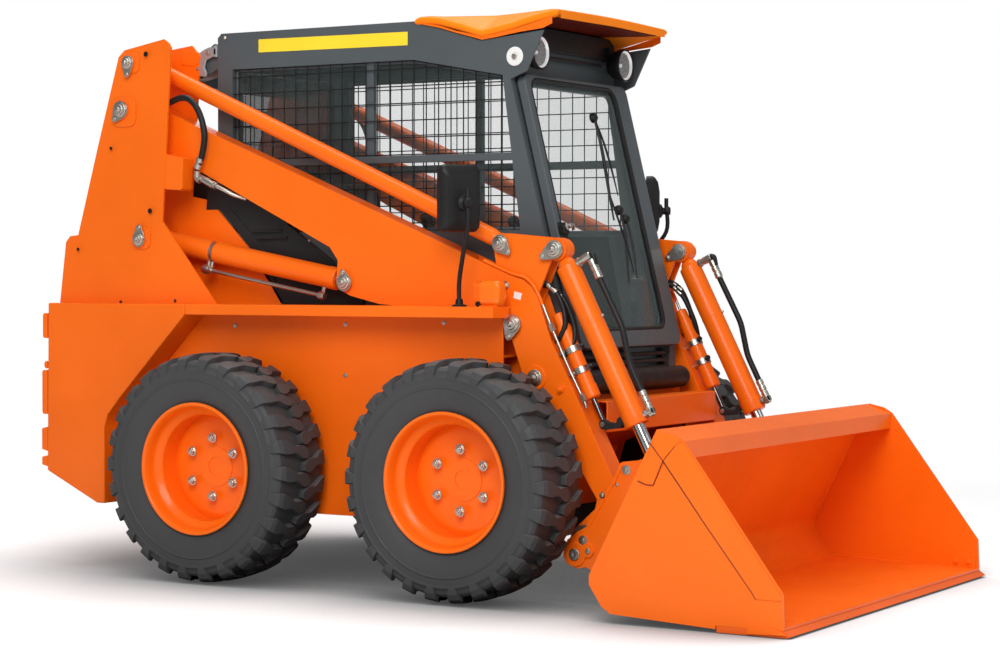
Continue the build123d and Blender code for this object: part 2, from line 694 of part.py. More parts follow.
# lock cylinders in front of each lower arm
lock_top = (1213.6, 912.0)
lock_eye = (1384.0, 565.0)
lock_r = 20.0
lock_neck_r = 14.0
lock_neck = 36.0
lock_barrel_end = 296.0
lock_rod_r = 8.0
clamp_places = (
    # down from the top, reach back to the arm
    (120.0, 36.7),
    (192.0, 34.6),
)
with BuildPart() as lock_cylinders:
    lock_len = hypot(lock_eye[0] - lock_top[0], lock_eye[1] - lock_top[1])
    for s in sides:
        line = along(lock_top, lock_eye, s * arm_y)
        for start, end, r in ((0, lock_neck, lock_neck_r), (lock_neck, lock_barrel_end, lock_r),
                              (lock_barrel_end, lock_len, lock_rod_r)):
            with BuildSketch(line.offset(start)):
                Circle(r)
            extrude(amount=end - start)
        for place, reach in clamp_places:
            with BuildSketch(line.offset(place)):
                with Locations((0, -reach / 2)):
                    Rectangle(30, reach)
            extrude(amount=16)
save(lock_cylinders, "lock_cylinders")

# hoses of the lock cylinders, from the arm's elbow to the top of each barrel
arm_hose_r = 9.0
arm_hose_bend = 60.0
arm_hose_route = ((1118.0, 1010.0), (1174.0, 992.7), (1213.5, 912.3))
with BuildPart() as arm_hoses:
    for s in sides:
        with BuildLine(side_plane(s * arm_y)) as route:
            FilletPolyline(*outline(*arm_hose_route), radius=arm_hose_bend)
        with BuildSketch(Plane(origin=route.line @ 0, z_dir=route.line % 0)):
            Circle(arm_hose_r)
        sweep(path=route.line)
save(arm_hoses, "arm_hoses")

# ---------------------------------------------------------------- levelling levers and link tubes
lever_t = 8.0
lever_gap = 4.0
lever_inner = arm_w / 2 - plate - lever_gap - lever_t
with BuildPart() as lever_plates:
    for s in sides:
        for t in sides:
            with BuildSketch(side_plane(s * arm_y + t * (lever_inner + lever_t / 2))):
                Polygon(*outline((989, 1136), (1023, 1170), (1223, 1152), (1200, 1070), (1122, 890), (1033, 890)),
                        align=None)
                with Locations(side(*lever_link)):
                    Circle(eye_r)
                with Locations(side(*lever_tilt)):
                    Circle(eye_r + 2)
                    Circle(pin_r + 0.05, mode=Mode.SUBTRACT)
                with Locations(side(*lever_pivot)):
                    Circle(46)
                    Circle(25 + gap, mode=Mode.SUBTRACT)
            extrude(amount=lever_t / 2, both=True)
        # spacer between the plates, below the tilt pin
        with BuildSketch(side_plane(s * arm_y)):
            Polygon(*outline((1058, 985), (1112, 985), (1104, 950), (1062, 950)), align=None)
        extrude(amount=lever_inner, both=True)
save(lever_plates, "levelling_levers")

with BuildPart() as lever_pins:
    for s in sides:
        for pivot, r, through in ((lever_link, 18.0, False), (lever_tilt, pin_r, True)):
            for t in sides:
                with Locations(side_plane(s * arm_y + t * (lever_inner + lever_t + pin_head_t / 2)).location):
                    with Locations(side(*pivot)):
                        Cylinder(r + 7, pin_head_t)
            if through:
                with Locations(side_plane(s * arm_y).location):
                    with Locations(side(*pivot)):
                        Cylinder(r, 2 * (lever_inner + lever_t))
save(lever_pins, "lever_pins")

link_len = hypot(lever_link[0] - link_pivot[0], lever_link[1] - link_pivot[1])
with BuildPart() as link_tubes:
    for s in sides:
        line = along(link_pivot, lever_link, s * arm_y)
        with BuildSketch(line.offset(60)):
            Circle(link_od / 2)
        extrude(amount=link_len - 60 - 54)
        with BuildSketch(line.offset(10)):
            Rectangle(32, 44)
        extrude(amount=link_len - 20)
        with BuildSketch(side_plane(s * arm_y)):
            with Locations(side(*link_pivot), side(*lever_link)):
                Circle(eye_r - 2)
        extrude(amount=16, both=True)
        with BuildSketch(side_plane(s * arm_y)):
            with Locations(side(*link_pivot), side(*lever_link)):
                Circle(18 + gap)
        extrude(amount=16, both=True, mode=Mode.SUBTRACT)
save(link_tubes, "link_tubes")

# ---------------------------------------------------------------- lift cylinders
lift_len = hypot(lift_eye[0] - lift_base[0], lift_eye[1] - lift_base[1])
with BuildPart() as lift_barrels:
    for s in sides:
        line = along(lift_base, lift_eye, s * arm_y)
        with BuildSketch(side_plane(s * arm_y)):
            with Locations(side(*lift_base)):
                Circle(eye_r + 2)
        extrude(amount=18, both=True)
        with BuildSketch(line.offset(28)):
            Circle(lift_od / 2)
        extrude(amount=lift_barrel_end - 28)
        with BuildSketch(line.offset(240)):
            Circle(lift_od / 2 + 2)
            Circle(lift_od / 2 - 6, mode=Mode.SUBTRACT)
        extrude(amount=16, mode=Mode.SUBTRACT)
        with BuildSketch(line.offset(150)):
            Circle(lift_rod / 2 + gap)
        extrude(amount=lift_barrel_end, mode=Mode.SUBTRACT)
        with BuildSketch(side_plane(s * arm_y)):
            with Locations(side(*lift_base)):
                Circle(pin_r + gap)
        extrude(amount=lift_od, both=True, mode=Mode.SUBTRACT)
save(lift_barrels, "lift_barrels")

with BuildPart() as lift_rods:
    for s in sides:
        line = along(lift_base, lift_eye, s * arm_y)
        with BuildSketch(line.offset(160)):
            Circle(lift_rod / 2)
        extrude(amount=lift_len - 160 - 24)
        with BuildSketch(side_plane(s * arm_y)):
            with Locations(side(*lift_eye)):
                Circle(eye_r - 2)
                Circle(pin_r + gap, mode=Mode.SUBTRACT)
        extrude(amount=16, both=True)
save(lift_rods, "lift_rods")

# ---------------------------------------------------------------- tilt cylinders
with BuildPart() as tilt_bushes:
    for s in sides:
        with BuildSketch(side_plane(s * arm_y)):
            with Locations(side(*lever_tilt)):
                Circle(bush_r)
                Circle(pin_r + gap, mode=Mode.SUBTRACT)
        extrude(amount=17, both=True)
save(tilt_bushes, "tilt_bushes")

tilt_len = hypot(tilt_eye[0] - lever_tilt[0], tilt_eye[1] - lever_tilt[1])
with BuildPart() as tilt_barrels:
    for s in sides:
        line = along(lever_tilt, tilt_eye, s * arm_y)
        with BuildSketch(side_plane(s * arm_y)):
            with Locations(side(*lever_tilt)):
                Circle(eye_r + 4)
        extrude(amount=16, both=True)
        with BuildSketch(line.offset(60)):
            Circle(tilt_od / 2)
        extrude(amount=tilt_barrel_end - 60)
        with BuildSketch(line.offset(30)):
            Circle(16)
        extrude(amount=32)
        with BuildSketch(line.offset(100)):
            Circle(tilt_rod / 2 + gap)
        extrude(amount=tilt_barrel_end, mode=Mode.SUBTRACT)
        with BuildSketch(side_plane(s * arm_y)):
            with Locations(side(*lever_tilt)):
                Circle(bush_r + gap)
        extrude(amount=16, both=True, mode=Mode.SUBTRACT)
save(tilt_barrels, "tilt_barrels")

hose_r = 10.0
hose_bend = 180.0
fitting_r = 11.0
# hose in front of each barrel: (along the barrel from its upper pin, out from its axis)
hose_route = ((72.0, 84.0), (320.0, 88.0), (430.0, 60.0), (596.0, 60.0))
hose_ports = ((66.0, 84.0), (596.0, 60.0))
with BuildPart() as tilt_hoses:
    for s in sides:
        line = along(lever_tilt, tilt_eye, s * arm_y)
        # local x of this plane runs down the barrel, local y out from it
        flat = Plane(origin=line.origin, x_dir=line.z_dir, z_dir=(0, -1, 0))
        with BuildLine(flat) as route:
            FilletPolyline(*hose_route, radius=hose_bend)
        with BuildSketch(Plane(origin=route.line @ 0, z_dir=route.line % 0)):
            Circle(hose_r)
        sweep(path=route.line)
        for down, out in hose_ports:
            with BuildSketch(Plane(origin=flat.from_local_coords((down, tilt_od / 2 + gap, 0)), z_dir=flat.y_dir)):
                Circle(fitting_r)
            extrude(amount=out + fitting_r - tilt_od / 2 - gap)
save(tilt_hoses, "tilt_hoses")

with BuildPart() as tilt_rods:
    for s in sides:
        line = along(lever_tilt, tilt_eye, s * arm_y)
        with BuildSketch(line.offset(250)):
            Circle(tilt_rod / 2)
        extrude(amount=tilt_len - 250 - tilt_eye_r + 4)
        with BuildSketch(side_plane(s * arm_y)):
            with Locations(side(*tilt_eye)):
                Circle(tilt_eye_r)
                Circle(tilt_pin_r + gap, mode=Mode.SUBTRACT)
        extrude(amount=16, both=True)
save(tilt_rods, "tilt_rods")

# ---------------------------------------------------------------- hitch and bucket
thrust_r = 50.0
hitch_plate_off = arm_w / 2 + 13      # inner face of each hitch plate from the arm's mid-plane
with BuildPart() as hitch_bushes:
    for s in sides:
        with BuildSketch(side_plane(s * arm_y)):
            with Locations(side(*hitch_pivot)):
                Circle(hitch_bush_r)
        extrude(amount=arm_w / 2 + 1, both=True)
        # thrust washers between the arm and the hitch plates
        for t in sides:
            with BuildSketch(side_plane(s * arm_y + t * (arm_w / 2 + hitch_plate_off) / 2)):
                with Locations(side(*hitch_pivot)):
                    Circle(thrust_r)
            extrude(amount=(hitch_plate_off - arm_w / 2) / 2 - gap, both=True)
        with BuildSketch(side_plane(s * arm_y)):
            with Locations(side(*hitch_pivot)):
                Circle(hitch_pin_r + gap)
        extrude(amount=arm_w, both=True, mode=Mode.SUBTRACT)
save(hitch_bushes, "hitch_bushes")

# line of the bucket's back, from the rear axle
back_foot = (1546.0, 152.0)
back_top = (1765.0, 584.0)
back_len = hypot(back_top[0] - back_foot[0], back_top[1] - back_foot[1])
back_u = ((back_top[0] - back_foot[0]) / back_len, (back_top[1] - back_foot[1]) / back_len)


def back_point(up, behind):
    """A point up the line of the bucket's back and behind it."""
    return (back_foot[0] + up * back_u[0] - behind * back_u[1], back_foot[1] + up * back_u[1] + behind * back_u[0])


hitch_outer = outline(
    (1480, 455), (1456, 405), (1404, 325), (1357, 248), (1320, 228), (1285, 200), (1276, 160), (1291, 122),
    (1325, 112), (1352, 119), (1400, 96), back_point(-60, 14), back_point(300, 14), back_point(345, 40),
)
tilt_ear = [back_point(140, 14), back_point(370, 14), (tilt_eye[0] + 14, tilt_eye[1] + 27),
            (tilt_eye[0] - 10, tilt_eye[1] + 29), (tilt_eye[0] - 28, tilt_eye[1] + 8),
            (tilt_eye[0] - 26, tilt_eye[1] - 16), (tilt_eye[0] - 8, tilt_eye[1] - 30)]
with BuildPart() as hitch:
    for s in sides:
        for y in (arm_y - hitch_plate_off - 5, arm_y + hitch_plate_off + 5):
            with BuildSketch(side_plane(s * y)):
                Polygon(*hitch_outer, align=None)
            extrude(amount=5, both=True)
        for t in sides:
            with BuildSketch(side_plane(s * arm_y + t * 26)):
                Polygon(*outline(*tilt_ear), align=None)
            extrude(amount=5, both=True)
            # head of the tilt cylinder's pin
            with BuildSketch(side_plane(s * arm_y + t * 36)):
                with Locations(side(*tilt_eye)):
                    Circle(tilt_pin_r + 6)
            extrude(amount=5, both=True)
        with Locations(side_plane(s * arm_y).location):
            with Locations(side(*hitch_pivot)):
                Cylinder(hitch_pin_r, arm_w + 2 * 23)
    with BuildSketch(side_plane(0)):
        Polygon(*outline(back_point(-20, 2), back_point(380, 2), back_point(380, 14), back_point(-20, 14)),
                align=None)
    extrude(amount=arm_y + arm_w / 2 + 23, both=True)
save(hitch, "hitch")

bucket_side = outline(
    back_top, (1820, 572), (1851, 554), (2168, 127), (2172, 22.3), (1957, 22.3), (1957, 12), (1610, 30),
    (1581, 50), (1539, 112), (1539, 141),
)
with BuildPart() as bucket:
    for s in sides:
        with BuildSketch(side_plane(s * (bucket_half_w - bucket_side_t / 2))):
            Polygon(*bucket_side, align=None)
        extrude(amount=bucket_side_t / 2, both=True)
    with BuildSketch(side_plane(0)):
        with BuildLine():
            FilletPolyline(
                side(back_top[0] + 2, back_top[1] - 6), side(1548, 150), side(1622, 38), side(2172, 26.5),
                radius=[60, 90],
            )
        trace(line_width=bucket_t)
        # box beam of the top lip
        Polygon(*outline((1760, 583), (1851, 552), (1848, 500), (1724, 505)), align=None)
    extrude(amount=bucket_half_w - bucket_side_t, both=True)
save(bucket, "bucket")

with BuildPart() as edge:
    with BuildSketch(side_plane(0)):
        Polygon(*outline((1960, 2), (2182, 2), (2194, 7), (2172, 22), (1960, 22)), align=None)
    extrude(amount=bucket_half_w, both=True)
save(edge, "cutting_edge")
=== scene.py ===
"""Looks of the skid steer loader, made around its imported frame.

Metres, +X forward, +Y left, +Z up. Helpers take millimetres: side-view points are (x from the rear axle, z)
and y is the distance from the centre line.
"""
import json
from math import atan2, cos, hypot, pi, radians, sin, sqrt

import bmesh
import bpy
from mathutils import Matrix, Vector


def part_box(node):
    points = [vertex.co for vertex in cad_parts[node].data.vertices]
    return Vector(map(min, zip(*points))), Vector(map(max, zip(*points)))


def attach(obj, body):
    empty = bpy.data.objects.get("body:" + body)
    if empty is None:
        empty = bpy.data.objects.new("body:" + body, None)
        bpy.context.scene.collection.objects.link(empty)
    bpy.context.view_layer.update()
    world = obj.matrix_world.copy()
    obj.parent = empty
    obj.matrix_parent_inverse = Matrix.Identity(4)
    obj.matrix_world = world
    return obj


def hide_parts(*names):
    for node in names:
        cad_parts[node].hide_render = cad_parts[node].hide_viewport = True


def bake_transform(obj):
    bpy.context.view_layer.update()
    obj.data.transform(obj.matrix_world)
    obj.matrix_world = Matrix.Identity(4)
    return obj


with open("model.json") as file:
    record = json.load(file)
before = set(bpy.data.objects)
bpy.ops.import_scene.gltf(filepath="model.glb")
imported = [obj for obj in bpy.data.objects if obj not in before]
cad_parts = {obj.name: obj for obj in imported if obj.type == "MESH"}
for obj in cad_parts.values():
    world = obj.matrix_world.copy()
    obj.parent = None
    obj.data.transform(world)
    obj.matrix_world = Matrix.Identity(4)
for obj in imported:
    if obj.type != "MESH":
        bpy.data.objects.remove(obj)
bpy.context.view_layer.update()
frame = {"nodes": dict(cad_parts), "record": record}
nodes = frame["nodes"]
node_body = {n: b for b, names in frame["record"]["behaviour"]["bodies"].items() for n in names}

MM = 0.001
rear_low, rear_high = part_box("tyre_rear_right")
front_low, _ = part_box("tyre_front_right")
AXLE_X = (rear_low.x + rear_high.x) / 2
AXLE_Z = (rear_low.z + rear_high.z) / 2
WHEELBASE = (front_low.x - rear_low.x) / MM
WHEEL_Y = -(rear_low.y + rear_high.y) / 2 / MM
TYRE_R = (rear_high.z - rear_low.z) / 2 / MM
SIDES = (-1, 1)

# distances from the centre line: the middle of the arms and their cylinders, then outer faces
ARM_Y = 433.0
CAB_SIDE = 375.0
PANEL_SIDE = 383.5
ARM_SIDE = 475.0
TUB_SIDE = 487.0
HITCH_SIDE = 498.0
BOX_SIDE = 538.0
TOWER_SIDE = 540.0
BUCKET_SIDE = 815.0
# ends of the CAD's pins, where their heads and keepers sit
TOWER_PIN_END = 552.0
ARM_PIN_END = 487.0
LEVER_PIN_END = 473.0
LEVER_PIN_INNER = 402.5
# side-view x of the machine's back plate
REAR_FACE = -786.0

# side-view points of the linkage's pins
PIVOTS = {
    "arm": (-482, 1611), "link_rear": (-449, 1774), "link_front": (1023, 1136), "lever": (1077, 878),
    "lift_foot": (-401, 1158), "lift_head": (425, 1009), "tilt_head": (1223, 1116), "tilt_foot": (1572, 430),
    "lock_head": (1213.6, 912.0), "lock_foot": (1384.0, 565.0),
}


def at(x, z, y):
    """Metres in the frame for a side-view point and a y, in millimetres."""
    return Vector((AXLE_X + x * MM, y * MM, z * MM))


# ---------------------------------------------------------------- camera, light and floor
camera_data = bpy.data.cameras.new("camera")
camera_data.lens = 85.15
camera_data.sensor_width = 36.0
camera = bpy.data.objects.new("camera", camera_data)
camera.location = (4.2495, -6.978, 1.042)
camera.rotation_euler = (radians(90 - 1.457), radians(-0.06), radians(31.07))
bpy.context.scene.collection.objects.link(camera)
bpy.context.scene.camera = camera
bpy.context.scene.view_settings.view_transform = "Standard"


def nodes_of(owner):
    """The emptied nodes and links of a world or material."""
    owner.use_nodes = True
    owner.node_tree.nodes.clear()
    return owner.node_tree.nodes, owner.node_tree.links


def background_rays(tree_nodes, tree_links):
    """1 where a camera or transmission ray looks, else 0."""
    path = tree_nodes.new("ShaderNodeLightPath")
    either = tree_nodes.new("ShaderNodeMath")
    either.operation = "MAXIMUM"
    tree_links.new(path.outputs["Is Camera Ray"], either.inputs[0])
    tree_links.new(path.outputs["Is Transmission Ray"], either.inputs[1])
    return either.outputs[0]


world = bpy.data.worlds.new("studio")
bpy.context.scene.world = world
wn, wl = nodes_of(world)
wout = wn.new("ShaderNodeOutputWorld")
wmix = wn.new("ShaderNodeMixShader")
ambient = wn.new("ShaderNodeBackground")
backdrop = wn.new("ShaderNodeBackground")
backdrop.inputs["Strength"].default_value = 1.0
for light in (ambient, backdrop):
    light.inputs["Color"].default_value = (1, 1, 1, 1)
dimmer = wn.new("ShaderNodeMath")
dimmer.operation = "MULTIPLY_ADD"
dimmer.inputs[1].default_value = -0.22
dimmer.inputs[2].default_value = 0.45
world_path = wn.new("ShaderNodeLightPath")
wl.new(world_path.outputs["Is Glossy Ray"], dimmer.inputs[0])
wl.new(dimmer.outputs[0], ambient.inputs["Strength"])
wl.new(background_rays(wn, wl), wmix.inputs["Fac"])
wl.new(ambient.outputs[0], wmix.inputs[1])
wl.new(backdrop.outputs[0], wmix.inputs[2])
wl.new(wmix.outputs[0], wout.inputs["Surface"])

lamp_table = (
    # name, place, aims at, size, watts
    ("key", (2.6, -5.6, 4.4), (0.2, 0, 0.7), 3.4, 315),
    ("front_fill", (6.5, 0.8, 2.8), (0.6, 0, 0.7), 3.0, 32),
    ("top", (-0.4, 0.6, 5.2), (0, 0, 0.8), 3.5, 150),
    ("back_fill", (-5.0, 4.5, 3.4), (0, 0, 0.8), 3.0, 110),
)
for name, place, target, size, watts in lamp_table:
    data = bpy.data.lights.new(name, "AREA")
    data.size = size
    data.energy = watts
    lamp = bpy.data.objects.new(name, data)
    lamp.location = place
    lamp.rotation_euler = (Vector(target) - Vector(place)).to_track_quat("-Z", "Y").to_euler()
    bpy.context.scene.collection.objects.link(lamp)


# ---------------------------------------------------------------- materials
def material(name):
    """A new material, its shader and a function that adds a node with its settings and links."""
    m = bpy.data.materials.new(name)
    mn, ml = nodes_of(m)
    out = mn.new("ShaderNodeOutputMaterial")
    shader = mn.new("ShaderNodeBsdfPrincipled")
    ml.new(shader.outputs[0], out.inputs["Surface"])

    def add(kind, links=(), **values):
        node = mn.new("ShaderNode" + kind)
        for key, value in values.items():
            if hasattr(node, key):
                setattr(node, key, value)
            else:
                node.inputs[key.replace("_", " ")].default_value = value
        for socket, source in links:
            ml.new(source, node.inputs[socket])
        return node

    return m, shader, add, ml


def noise(add, scale, detail=3.0, rough=0.55, stretch=None):
    """Noise in the piece's own coordinates, between 0 and 1."""
    place = add("TexCoord").outputs["Object"]
    if stretch:
        place = add("Mapping", [("Vector", place)], Scale=stretch).outputs[0]
    node = add("TexNoise", [("Vector", place)], Scale=scale, Detail=detail, Roughness=rough)
    return node.outputs["Fac"]


def spread(add, source, low, high, start=0.3, stop=0.7):
    """source between start and stop, mapped to low and high."""
    node = add("MapRange", [("Value", source)])
    for key, value in (("From Min", start), ("From Max", stop), ("To Min", low), ("To Max", high)):
        node.inputs[key].default_value = value
    return node.outputs[0]


def mixed(add, factor, a, b):
    """Colour mix of two colours, each a tuple or a socket."""
    node = add("Mix", data_type="RGBA")
    node.inputs[0].default_value = 0.5
    links = node.id_data.links
    if isinstance(factor, float):
        node.inputs[0].default_value = factor
    else:
        links.new(factor, node.inputs[0])
    for index, value in ((6, a), (7, b)):
        if isinstance(value, tuple):
            node.inputs[index].default_value = (*value, 1)
        else:
            links.new(value, node.inputs[index])
    return node.outputs[2]


def product(add, a, b):
    """Two values multiplied."""
    return add("Math", [(0, a), (1, b)], operation="MULTIPLY").outputs[0]


def coat(name, colour, rough=(0.3, 0.42), worn=None, dust=0.1, peel=0.05, metallic=0.0, grain=None,
        scale=900.0, relief=0.0006, specular=0.3):
    """A painted, moulded or plated surface: colour drift, uneven gloss, fine relief, worn patches and dust.
    """
    m, shader, add, links = material(name)
    drift = noise(add, 2.3, 4.0)
    darker = tuple(c * 0.88 for c in colour)
    lighter = tuple(min(1.0, c * 1.06 + 0.004) for c in colour)
    tone = mixed(add, spread(add, drift, 0.0, 1.0, 0.25, 0.75), darker, lighter)
    if worn:
        patches = spread(add, noise(add, 6.0, 5.0), 0.0, 1.0, 0.62, 0.72)
        specks = spread(add, noise(add, 160.0), 0.0, 0.35, 0.6, 0.7)
        tone = mixed(add, product(add, patches, specks), tone, worn)
    if dust:
        normal = add("SeparateXYZ", [("Vector", add("NewGeometry").outputs["Normal"])]).outputs["Z"]
        lying = spread(add, normal, 0.0, dust, 0.6, 1.0)
        uneven = spread(add, noise(add, 9.0, 6.0), 0.3, 1.0)
        tone = mixed(add, product(add, lying, uneven), tone, (0.62, 0.56, 0.5))
    links.new(tone, shader.inputs["Base Color"])
    fine = noise(add, 34.0, 6.0, 0.6, grain)
    links.new(spread(add, fine, rough[0], rough[1]), shader.inputs["Roughness"])
    shader.inputs["Metallic"].default_value = metallic
    shader.inputs["Specular IOR Level"].default_value = specular
    bump = add("Bump", [("Height", noise(add, scale, 2.0, 0.5, grain))], Strength=peel, Distance=relief)
    broad = add("Bump", [("Height", noise(add, 7.0)), ("Normal", bump.outputs[0])], Strength=0.12,
        Distance=0.004)
    links.new(broad.outputs[0], shader.inputs["Normal"])
    return m


def shader_of(m):
    return next(n for n in m.node_tree.nodes if n.type == "BSDF_PRINCIPLED")


orange = coat("orange_enamel", (0.96, 0.15, 0.0015), (0.33, 0.44), worn=(0.92, 0.18, 0.012), dust=0.012,
    peel=0.02, specular=0.2)
orange_shader = shader_of(orange)
orange_shader.inputs["Coat Weight"].default_value = 0.16
orange_shader.inputs["Coat Roughness"].default_value = 0.1
deep_orange = coat("orange_structure", (0.98, 0.14, 0.0015), (0.34, 0.46), worn=(0.9, 0.18, 0.012), dust=0.02,
    peel=0.02, specular=0.2)
grey = coat("slate_enamel", (0.078, 0.09, 0.097), (0.3, 0.45), worn=(0.12, 0.13, 0.135), dust=0.05)
black = coat("black_enamel", (0.015, 0.0155, 0.0158), (0.32, 0.48), worn=(0.05, 0.05, 0.05), dust=0.04)
plastic = coat("black_moulding", (0.007, 0.007, 0.0075), (0.4, 0.58), dust=0.05, peel=0.35, scale=1400.0)
rubber = coat("black_rubber", (0.008, 0.008, 0.0085), (0.38, 0.55), dust=0.05, peel=0.2, scale=700.0)
amber = coat("amber_moulding", (0.9, 0.165, 0.004), (0.12, 0.2), dust=0.0, peel=0.03, specular=0.5)
zinc = coat("zinc_plate", (0.56, 0.545, 0.49), (0.26, 0.46), worn=(0.75, 0.74, 0.7), dust=0.05, metallic=1.0,
    peel=0.15, scale=420.0)
cast = coat("cast_grey", (0.42, 0.43, 0.44), (0.45, 0.62), dust=0.1, metallic=0.6, peel=0.5, scale=500.0)
dark_chrome = coat("dark_chrome", (0.2, 0.2, 0.21), (0.12, 0.2), dust=0.02, metallic=1.0, peel=0.02)
reflector_painted_glow = coat("lamp_reflector_painted_glow", (0.9, 0.91, 0.92), (0.12, 0.2), dust=0.0, metallic=0.35, peel=0.02,
    specular=0.8)
# a faint white glow on the work lights' reflectors: painted light, since these lamps give no light
reflector_glow_shader = shader_of(reflector_painted_glow)
reflector_glow_shader.inputs["Emission Color"].default_value = (1, 1, 1, 1)
reflector_glow_shader.inputs["Emission Strength"].default_value = 0.22
chrome = coat("chrome_plate", (0.78, 0.78, 0.79), (0.05, 0.11), dust=0.02, metallic=1.0, peel=0.02)
yellow = coat("yellow_stripe", (0.93, 0.68, 0.03), (0.32, 0.45), dust=0.03)
label = coat("blank_label", (0.78, 0.78, 0.76), (0.3, 0.42), dust=0.05)
# near-black for the window wire, and also painted shade in the towers' holes and under the side panels' ribs
wire_and_hole_shade_black = coat("wire_enamel_and_hole_shade", (0.006, 0.006, 0.006), (0.35, 0.5), dust=0.03)
steel_edge = coat("edge_enamel", (0.84, 0.118, 0.006), (0.26, 0.38), worn=(0.5, 0.42, 0.36), dust=0.03)
seam = coat("seam_shadow", (0.2, 0.018, 0.001), (0.5, 0.6), dust=0.0)
tread = coat("tyre_tread", (0.05, 0.051, 0.053), (0.48, 0.68), worn=(0.07, 0.069, 0.068), dust=0.16, peel=0.5,
    scale=260.0, relief=0.0009)
tail_red = coat("tail_lamp_red", (0.5, 0.012, 0.008), (0.1, 0.2), dust=0.03, peel=0.02, specular=0.6)
visor_orange = coat("visor_orange", (0.95, 0.225, 0.0015), (0.36, 0.46), dust=0.0, peel=0.03, specular=0.15)
# dark red-brown under the visor's cap: painted shade, the cap's shadow on its underside
visor_painted_shade = coat("visor_painted_shade_sheet", (0.11, 0.006, 0.0003), (0.5, 0.6), dust=0.0, specular=0.1)
engine_paint = coat("engine_enamel", (0.03, 0.033, 0.036), (0.4, 0.6), dust=0.15, peel=0.4, scale=180.0)

# seat cover: embossed grain over soft creases
vinyl, vinyl_shader, add, links = material("black_vinyl")
cells = add("TexVoronoi", [("Vector", add("TexCoord").outputs["Object"])], Scale=420.0,
    feature="DISTANCE_TO_EDGE")
grainy = add("Bump", [("Height", spread(add, cells.outputs["Distance"], 0.0, 1.0, 0.0, 0.25))], Strength=0.35,
    Distance=0.0006)
soft = add("Bump", [("Height", noise(add, 18.0, 4.0)), ("Normal", grainy.outputs[0])], Strength=0.25,
    Distance=0.004)
links.new(soft.outputs[0], vinyl_shader.inputs["Normal"])
links.new(mixed(add, noise(add, 6.0), (0.016, 0.016, 0.017), (0.03, 0.03, 0.031)),
    vinyl_shader.inputs["Base Color"])
links.new(spread(add, noise(add, 24.0, 5.0), 0.38, 0.56), vinyl_shader.inputs["Roughness"])


def glazing(name, dark, light, clear):
    """Thin tinted glass: see-through when faced, mirror-like at a grazing angle."""
    m, shader, add, links = material(name)
    smear = noise(add, 5.0, 5.0)
    links.new(mixed(add, smear, dark, light), shader.inputs["Base Color"])
    links.new(spread(add, smear, 0.02, 0.06), shader.inputs["Roughness"])
    grazing = add("Math", [(0, add("LayerWeight", Blend=0.5).outputs["Facing"])], operation="POWER")
    grazing.inputs[1].default_value = 4.0
    links.new(spread(add, grazing.outputs[0], clear, 0.8, 0.0, 1.0), shader.inputs["Alpha"])
    shader.inputs["Specular IOR Level"].default_value = 1.0
    return m


glass = glazing("tinted_glass", (0.16, 0.215, 0.21), (0.21, 0.27, 0.265), 0.09)
smoked = glazing("smoked_glass", (0.05, 0.06, 0.06), (0.07, 0.082, 0.082), 0.6)

# lamp glass with moulded ribs
lens, lens_shader, add, links = material("lamp_lens")
ribs = add("TexWave", [("Vector", add("TexCoord").outputs["Object"])], Scale=90.0, bands_direction="Y")
ribbed = add("Bump", [("Height", ribs.outputs["Fac"])], Strength=0.5, Distance=0.002)
links.new(ribbed.outputs[0], lens_shader.inputs["Normal"])
links.new(mixed(add, noise(add, 12.0), (0.86, 0.88, 0.88), (0.95, 0.96, 0.96)),
    lens_shader.inputs["Base Color"])
links.new(spread(add, noise(add, 30.0), 0.03, 0.09), lens_shader.inputs["Roughness"])
lens_shader.inputs["Alpha"].default_value = 0.14

# floor: matt, with a painted shadow: darker in colour and glow where ambient occlusion finds the machine
# close, and white to the camera further out
floor_paint, floor_shader, add, links = material("studio_floor")
tree = floor_paint.node_tree
tree.nodes.remove(floor_shader)
out = next(n for n in tree.nodes if n.type == "OUTPUT_MATERIAL")
matt = add("BsdfDiffuse")
closeness = add("AmbientOcclusion", Distance=0.75, samples=12).outputs["AO"]
painted_floor_shadow = spread(add, closeness, 0.0, 1.0, 0.3, 0.95)
links.new(mixed(add, painted_floor_shadow, (0.02, 0.02, 0.02), (0.82, 0.82, 0.82)), matt.inputs["Color"])
seen = add("LightPath").outputs["Is Camera Ray"]
# the glow to the camera is weaker where the machine is close: painted shadow
camera_glow_with_painted_shadow = add("Emission", [("Strength", product(add, seen, spread(add, closeness, 0.05, 0.16, 0.0, 0.35)))])
near = add("AddShader", [(0, matt.outputs[0]), (1, camera_glow_with_painted_shadow.outputs[0])])
away = add("VectorMath", [(0, add("NewGeometry").outputs["Position"])], operation="LENGTH").outputs["Value"]
far_off = spread(add, away, 0.0, 1.0, 2.6, 4.6)
both = add("MixShader", [(0, product(add, seen, far_off)), (1, near.outputs[0]),
    (2, add("Emission").outputs[0])])
links.new(both.outputs[0], out.inputs["Surface"])

bpy.ops.mesh.primitive_grid_add(x_subdivisions=8, y_subdivisions=8, size=120, location=(0, 0, 0))
floor = bpy.context.object
floor.name = "floor"
floor.data.materials.append(floor_paint)


# ---------------------------------------------------------------- geometry helpers
def vec(v):
    """A unit vector."""
    return Vector(v).normalized()


def frame_of(axis):
    """A rotation whose z column is the axis."""
    return vec(axis).to_track_quat("Z", "X").to_matrix()


